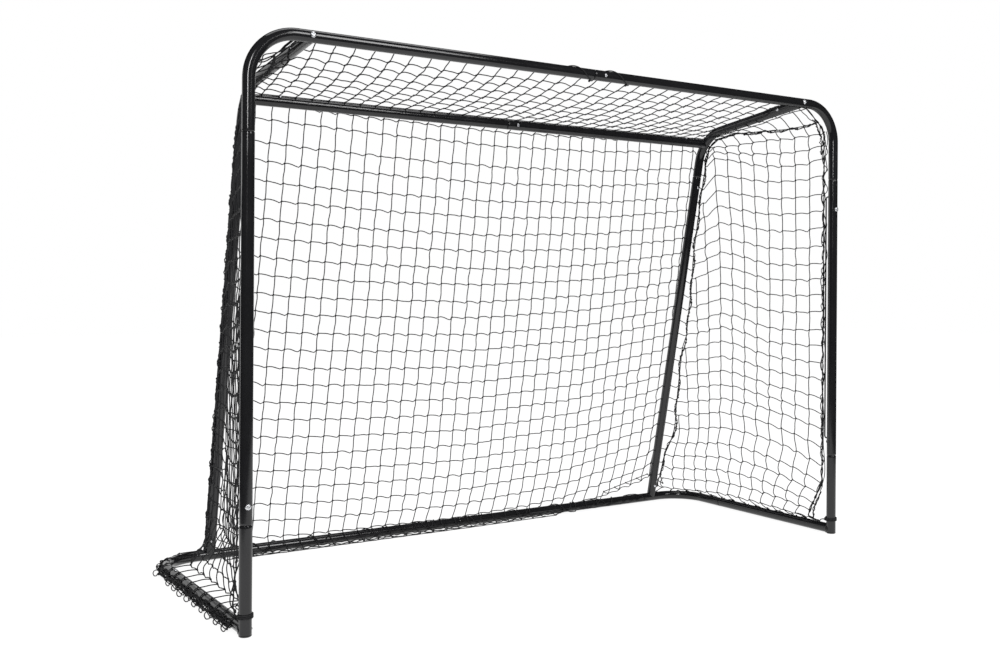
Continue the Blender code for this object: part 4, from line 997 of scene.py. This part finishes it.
def tube_parts(line, square, start="buried", end="buried"):
    """Fine tube along a flat line: an end is buried in another piece, plain, or necked.

    A plain end has a small chamfer. A necked one tapers to the sleeve that goes on into the
    next tube.
    """
    line = np.asarray(line, float)
    radius = np.full(len(line), TUBE_RADIUS)
    for reverse, kind in ((True, start), (False, end)):
        if reverse:
            line, radius = line[::-1], radius[::-1]
        ahead = unit(line[-1] - line[-2])
        seam = line[-1]
        if kind == "plain":
            extra = [(-0.0040, TUBE_RADIUS), (-0.0005, TUBE_RADIUS), (0, TUBE_RADIUS - 0.0004),
                     (0.0001, SLEEVE_RADIUS)]
        elif kind == "necked":
            extra = [(-0.0060, TUBE_RADIUS), (-0.0024, TUBE_RADIUS),
                     (-0.0019, TUBE_RADIUS - 0.0003), (-0.0002, SLEEVE_RADIUS),
                     (0.0060, SLEEVE_RADIUS)]
        else:
            extra = [(0, TUBE_RADIUS)]
        line = np.concatenate([line[:-1], [seam + ahead * far for far, r in extra]])
        radius = np.concatenate([radius[:-1], [r for far, r in extra]])
        if reverse:
            line, radius = line[::-1], radius[::-1]
    return sweep(line[None], radius[None], 40, np.array(square, float)[None, None])


def rod_parts(start, end):
    """Thin net rod behind a tube between two (x, z), its ends bent in to the tube."""
    corners = [(x, y, z) for (x, z), ys in ((start, (0.012, ROD_BACK)), (end, (ROD_BACK, 0.012)))
               for y in ys]
    return transported(rounded(corners, 0.006, 5), 0.0020, 10)


def weld_ring(centre, along, upright):
    """Rippled bead where a tube meets another of the same size square on.

    Round the branch's circle, centre + r (cos(a) side + sin(a) upright), the line is pushed
    along the branch to the main tube's surface, by sqrt(r^2 - (r cos a)^2), and stays above
    the floor.
    """
    along, upright = np.array(along, float), np.array(upright, float)
    side = np.cross(along, upright)
    a = np.linspace(0, 2 * math.pi, 97)[:, None]
    r = TUBE_RADIUS + 0.0006
    out = np.sqrt(np.maximum(r ** 2 - (r * np.cos(a)) ** 2, 0)) + 0.0008
    line = np.array(centre) + r * (np.cos(a) * side + np.sin(a) * upright) + out * along
    line[:, 2] = np.maximum(line[:, 2], 0.0017)
    return transported(line, 0.0015, 8)


def add_tubes():
    """The steel tubes with finer bends and seams than the solids carry."""
    down = unit(np.array([0, BASE_DEPTH - SHOULDER_DEPTH, BASE_Z - SHOULDER_HEIGHT]))
    for side, word in SIDES:
        x, frame_x = side * POST_X, side * SIDE_FRAME_X
        # At the centre joints the left tube's neck goes into the right tube's plain end
        joint, end_kind = (0, "necked") if side < 0 else (SEAM_GAP, "plain")
        stay_seam = np.array([frame_x, *stay_point(STAY_SEAM)])
        tubes = {
            "crossbar": [
                tube_parts(mouth_axis(side, joint, UPPER_SEAM, 30), (0, 1, 0), end_kind, "necked"),
                rod_parts(*[(side * rod, CROSSBAR_Z) for rod in CROSSBAR_ROD])],
            "post": [
                tube_parts([(x, 0, UPPER_SEAM - SEAM_GAP), (x, 0, 0.6),
                            (x, 0, LOWER_SEAM + SEAM_GAP)], (0, 1, 0), "plain", "plain"),
                rod_parts((x, UPPER_SEAM - 0.045), (x, LOWER_SEAM + 0.045))],
            "foot": [
                tube_parts([(x, 0, z) for z in (CAP_TOP, 0.1, LOWER_SEAM)], (0, 1, 0), "plain",
                           "necked"),
                tube_parts([(x, y, BASE_Z) for y in (0.008, 0.2, BASE_SEAM)], (0, 0, 1), "buried",
                           "necked")],
            "base_corner": [
                tube_parts(base_axis(side, BASE_SEAM + SEAM_GAP, joint * side, 30), (0, 0, 1),
                           "plain", end_kind)],
            "top_arm": [
                tube_parts(stay_axis(side, (0.006, CROSSBAR_Z - 0.0008), stay_seam[1:], 30),
                           (1, 0, 0), "buried", "necked")],
            "rear_stay": [
                tube_parts([stay_seam + down * SEAM_GAP, stay_seam + down * 0.4,
                            (frame_x, BASE_DEPTH, BASE_Z)], (1, 0, 0), "plain", "buried")],
            "rear_crossbar": [
                tube_parts([(frame_x, *REAR_BAR), (frame_x / 2, *REAR_BAR), (joint, *REAR_BAR)],
                           (0, 1, 0), "buried", end_kind)]}
        for node, parts in tubes.items():
            dress(f"{node}_{word}", "tube", parts, "powder_coated_tube")
            if node == "foot":
                add_piece("foot_weld_" + word, [weld_ring((x, 0, BASE_Z), (0, 1, 0), (0, 0, 1))],
                          "powder_coated_tube", finish=bead_finish)


def hexagon(turn):
    """Factors that turn a circle into a hexagon of the same width across its flats."""
    return 1 / np.cos((turn + math.pi / 6) % (math.pi / 3) - math.pi / 6)


def cross_slot(turn):
    """Factors that turn a circle into a four-armed slot."""
    return 0.34 + 0.66 * np.abs(np.cos(2 * turn)) ** 3


def fastener(centre, inward, profile, recess, sides):
    """Fastener seated on a tube, with a recess that shapes its first rings."""
    shape = recess + [None] * (len(profile) - len(recess))
    return turned(profile, np.array(centre) - inward * HEAD_SEAT, inward, sides, shape)


def bolt_parts(centre, inward, length):
    """Button-head bolt with a hexagon socket, seated on a tube."""
    profile = [(-0.0016, 0.00001), (-0.0016, 0.0018), (-0.0033, 0.0018), (-0.0034, 0.0022),
               (-0.00325, 0.0034), (-0.0026, 0.0048), (-0.0016, 0.0057), (-0.0005, 0.00615),
               (0.0, 0.0062), (0.0, 0.0030), (length, 0.0030), (length, 0.00001)]
    return fastener(centre, inward, profile, [None, hexagon, hexagon, hexagon], 36)


def screw_parts(centre, inward):
    """Pan-head screw with a cross recess, seated on a tube."""
    profile = [(-0.0010, 0.00001), (-0.0011, 0.0010), (-0.0021, 0.0015), (-0.0022, 0.0018),
               (-0.0020, 0.0027), (-0.0014, 0.0035), (-0.0006, 0.0039), (0.0, 0.0040),
               (0.0, 0.0019), (0.0056, 0.0019), (0.0075, 0.00001)]
    return fastener(centre, inward, profile, [None, cross_slot, cross_slot], 32)


def add_fasteners():
    """Bolts and screws with their sockets and crowned heads."""
    y_axis, down = np.array((0, 1.0, 0)), np.array((0, 0, -1.0))
    arm = unit(np.array((0, SHOULDER_DEPTH, SHOULDER_HEIGHT - CROSSBAR_Z)))
    up_stay = unit(np.array((0, SHOULDER_DEPTH - BASE_DEPTH, SHOULDER_HEIGHT - BASE_Z)))
    into_stay = np.array((0, up_stay[2], -up_stay[1]))
    steep = math.radians(60)
    into_bar = np.array((0, math.cos(steep), -math.sin(steep)))
    screws = [("crossbar_screw", (SCREW_TO_SEAM, 0, CROSSBAR_Z), y_axis),
              ("rear_crossbar_screw_centre", (SCREW_TO_SEAM, *REAR_BAR), y_axis),
              ("base_screw_centre", (SCREW_TO_SEAM, BASE_DEPTH, BASE_Z), down)]
    bolts = []
    for side, word in SIDES:
        x, frame_x = side * POST_X, side * SIDE_FRAME_X
        start = np.array((frame_x, 0, CROSSBAR_Z))
        stay = np.array((frame_x, *stay_point(STAY_SEAM)))
        bolts += [("arm_bolt_" + word, start, arm, 0.042),
                  ("upper_bolt_" + word, (x, 0, UPPER_SEAM - 0.080), y_axis * side, 0.011),
                  ("lower_bolt_" + word, (x, 0, LOWER_SEAM + 0.036), -y_axis * side, 0.011)]
        screws += [("arm_screw_" + word, start + arm * (0.076 / arm[1]), np.array((1.0, 0, 0))),
                   ("rear_crossbar_screw_" + word, (side * (SIDE_FRAME_X - 0.078), *REAR_BAR),
                    into_bar),
                   ("stay_screw_upper_" + word, stay - up_stay * 0.0293, into_stay),
                   ("stay_screw_lower_" + word,
                    np.array((frame_x, BASE_DEPTH, BASE_Z)) + up_stay * 0.040, into_stay),
                   ("base_screw_" + word, (x, BASE_SEAM + SCREW_TO_SEAM, BASE_Z), down)]
    for node, centre, inward, length in bolts:
        add_piece(node + "_head", [bolt_parts(centre, inward, length)], "zinc_fasteners", [node])
    for node, centre, inward in screws:
        add_piece(node + "_head", [screw_parts(centre, inward)], "zinc_fasteners", [node])


def add_camera():
    """Camera at the photo's angle, built from yaw, pitch and roll."""
    yaw, pitch, roll = (math.radians(a) for a in (CAMERA_YAW, CAMERA_PITCH, CAMERA_ROLL))
    ahead = np.array([math.sin(yaw) * math.cos(pitch), math.cos(yaw) * math.cos(pitch),
                      -math.sin(pitch)])
    level = np.array([math.cos(yaw), -math.sin(yaw), 0.0])
    upright = np.cross(level, ahead)
    right = math.cos(roll) * level + math.sin(roll) * upright
    up = -math.sin(roll) * level + math.cos(roll) * upright
    data = bpy.data.cameras.new("camera")
    data.lens = CAMERA_LENS
    data.sensor_width = SENSOR_WIDTH
    data.shift_x, data.shift_y = CAMERA_SHIFT
    camera = linked("camera", data)
    place = np.array(CAMERA_PLACE) + (0, SHIFT_Y, 0)
    camera.matrix_world = [[*axis, 0] for axis in (right, up, -ahead)] + [[*place, 1]]
    scene.camera = camera


def add_lamp(name, place, target, size, power):
    """Soft rectangular lamp that faces a target."""
    data = bpy.data.lights.new(name, "AREA")
    data.shape = "RECTANGLE"
    data.size, data.size_y = size
    data.energy = power
    lamp = linked(name, data)
    lamp.visible_camera = False
    back = unit(np.array(place, float) - np.array(target, float))
    side = unit(np.cross((0, 0, 1), back))
    top = np.cross(back, side)
    lamp.matrix_world = [[*axis, 0] for axis in (side, top, back)] + [[*place, 1]]


def add_stage_mesh(name, points, faces, finish):
    """Mesh of the studio, which isn't part of the goal."""
    mesh = bpy.data.meshes.new(name)
    mesh.from_pydata(points, [], faces)
    mesh.materials.append(finish)
    made = linked(name, mesh)
    return made


def add_flags():
    """Black flags seen only in reflections: a low ring round the lit floor and a dome above."""
    profile = [(1.9, 0.002), (1.9, 0.95), (9.0, 1.3), (8.5, 3.5), (7.0, 6.0), (4.0, 8.0),
               (0.3, 9.0)]
    turn = np.linspace(0, 2 * math.pi, 49)
    points = [(r * math.cos(t) + 0.15, r * math.sin(t), z) for r, z in profile for t in turn]
    grid = np.arange(len(points)).reshape(len(profile), len(turn))
    faces = np.stack([grid[:-1, :-1], grid[:-1, 1:], grid[1:, 1:], grid[1:, :-1]], -1)
    open_rear = np.zeros(faces.shape[:2], bool)
    open_rear[:3, (turn[:-1] > math.radians(35)) & (turn[:-1] < math.radians(140))] = True
    flags = add_stage_mesh("black_flags", points, faces[~open_rear].tolist(),
                           material("black_felt_flag", black_felt))
    for way in ("camera", "diffuse", "transmission", "shadow", "volume_scatter"):
        setattr(flags, "visible_" + way, False)


def add_stage():
    """Floor, even white world, black flags and the studio lamps."""
    corners = [(x, y, -0.0005) for x, y in ((-12, -12), (12, -12), (12, 12), (-12, 12))]
    add_stage_mesh("floor", corners, [(0, 1, 2, 3)], material("white_paper_floor", white_paper))
    add_flags()
    world = bpy.data.worlds.new("studio")
    scene.world = world
    world.use_nodes = True
    tree = world.node_tree
    tree.nodes.clear()
    strength = spread(tree, seen_ray(tree), 0.7, 1.0)
    sky = add(tree, "Background", {"Color": (1, 1, 1, 1), "Strength": strength})
    add(tree, "OutputWorld", {"Surface": sky.outputs[0]})
    # Place, target, size and watts
    add_lamp("strip_left", (-2.76, -3.55, 2.50), (-0.5, -0.2, 2.2), (0.5, 2.1), 80)
    add_lamp("softbox_right", (1.25, -4.06, 3.1), (0, -0.2, 2.2), (1.15, 2.2), 75)
    add_lamp("overhead", (0.0, 0.4, 4.2), (0, 0.1, 0.5), (3.0, 1.6), 40)


def dress_cad():
    """Give each carried-over CAD node the finish of its slot."""
    made = {"powder_coated_tube": material("gloss_black_powder_coat", powder_coat),
            "zinc_fasteners": material("bright_zinc_plate", zinc_plate),
            "foot_caps": material("moulded_black_polyethylene", cap_plastic),
            "net_twine": material("black_twisted_twine", black_twine)}
    for row in frame["record"]["subparts"]:
        mesh = frame["nodes"][row["node"]].data
        mesh.materials.clear()
        mesh.materials.append(made[row["material_slot"]])
    return made


scene.view_settings.view_transform = "Standard"
add_camera()
add_stage()
finishes = dress_cad()
bead_finish = material("coated_weld_bead", weld_bead)
add_tubes()
add_fasteners()
add_nets()
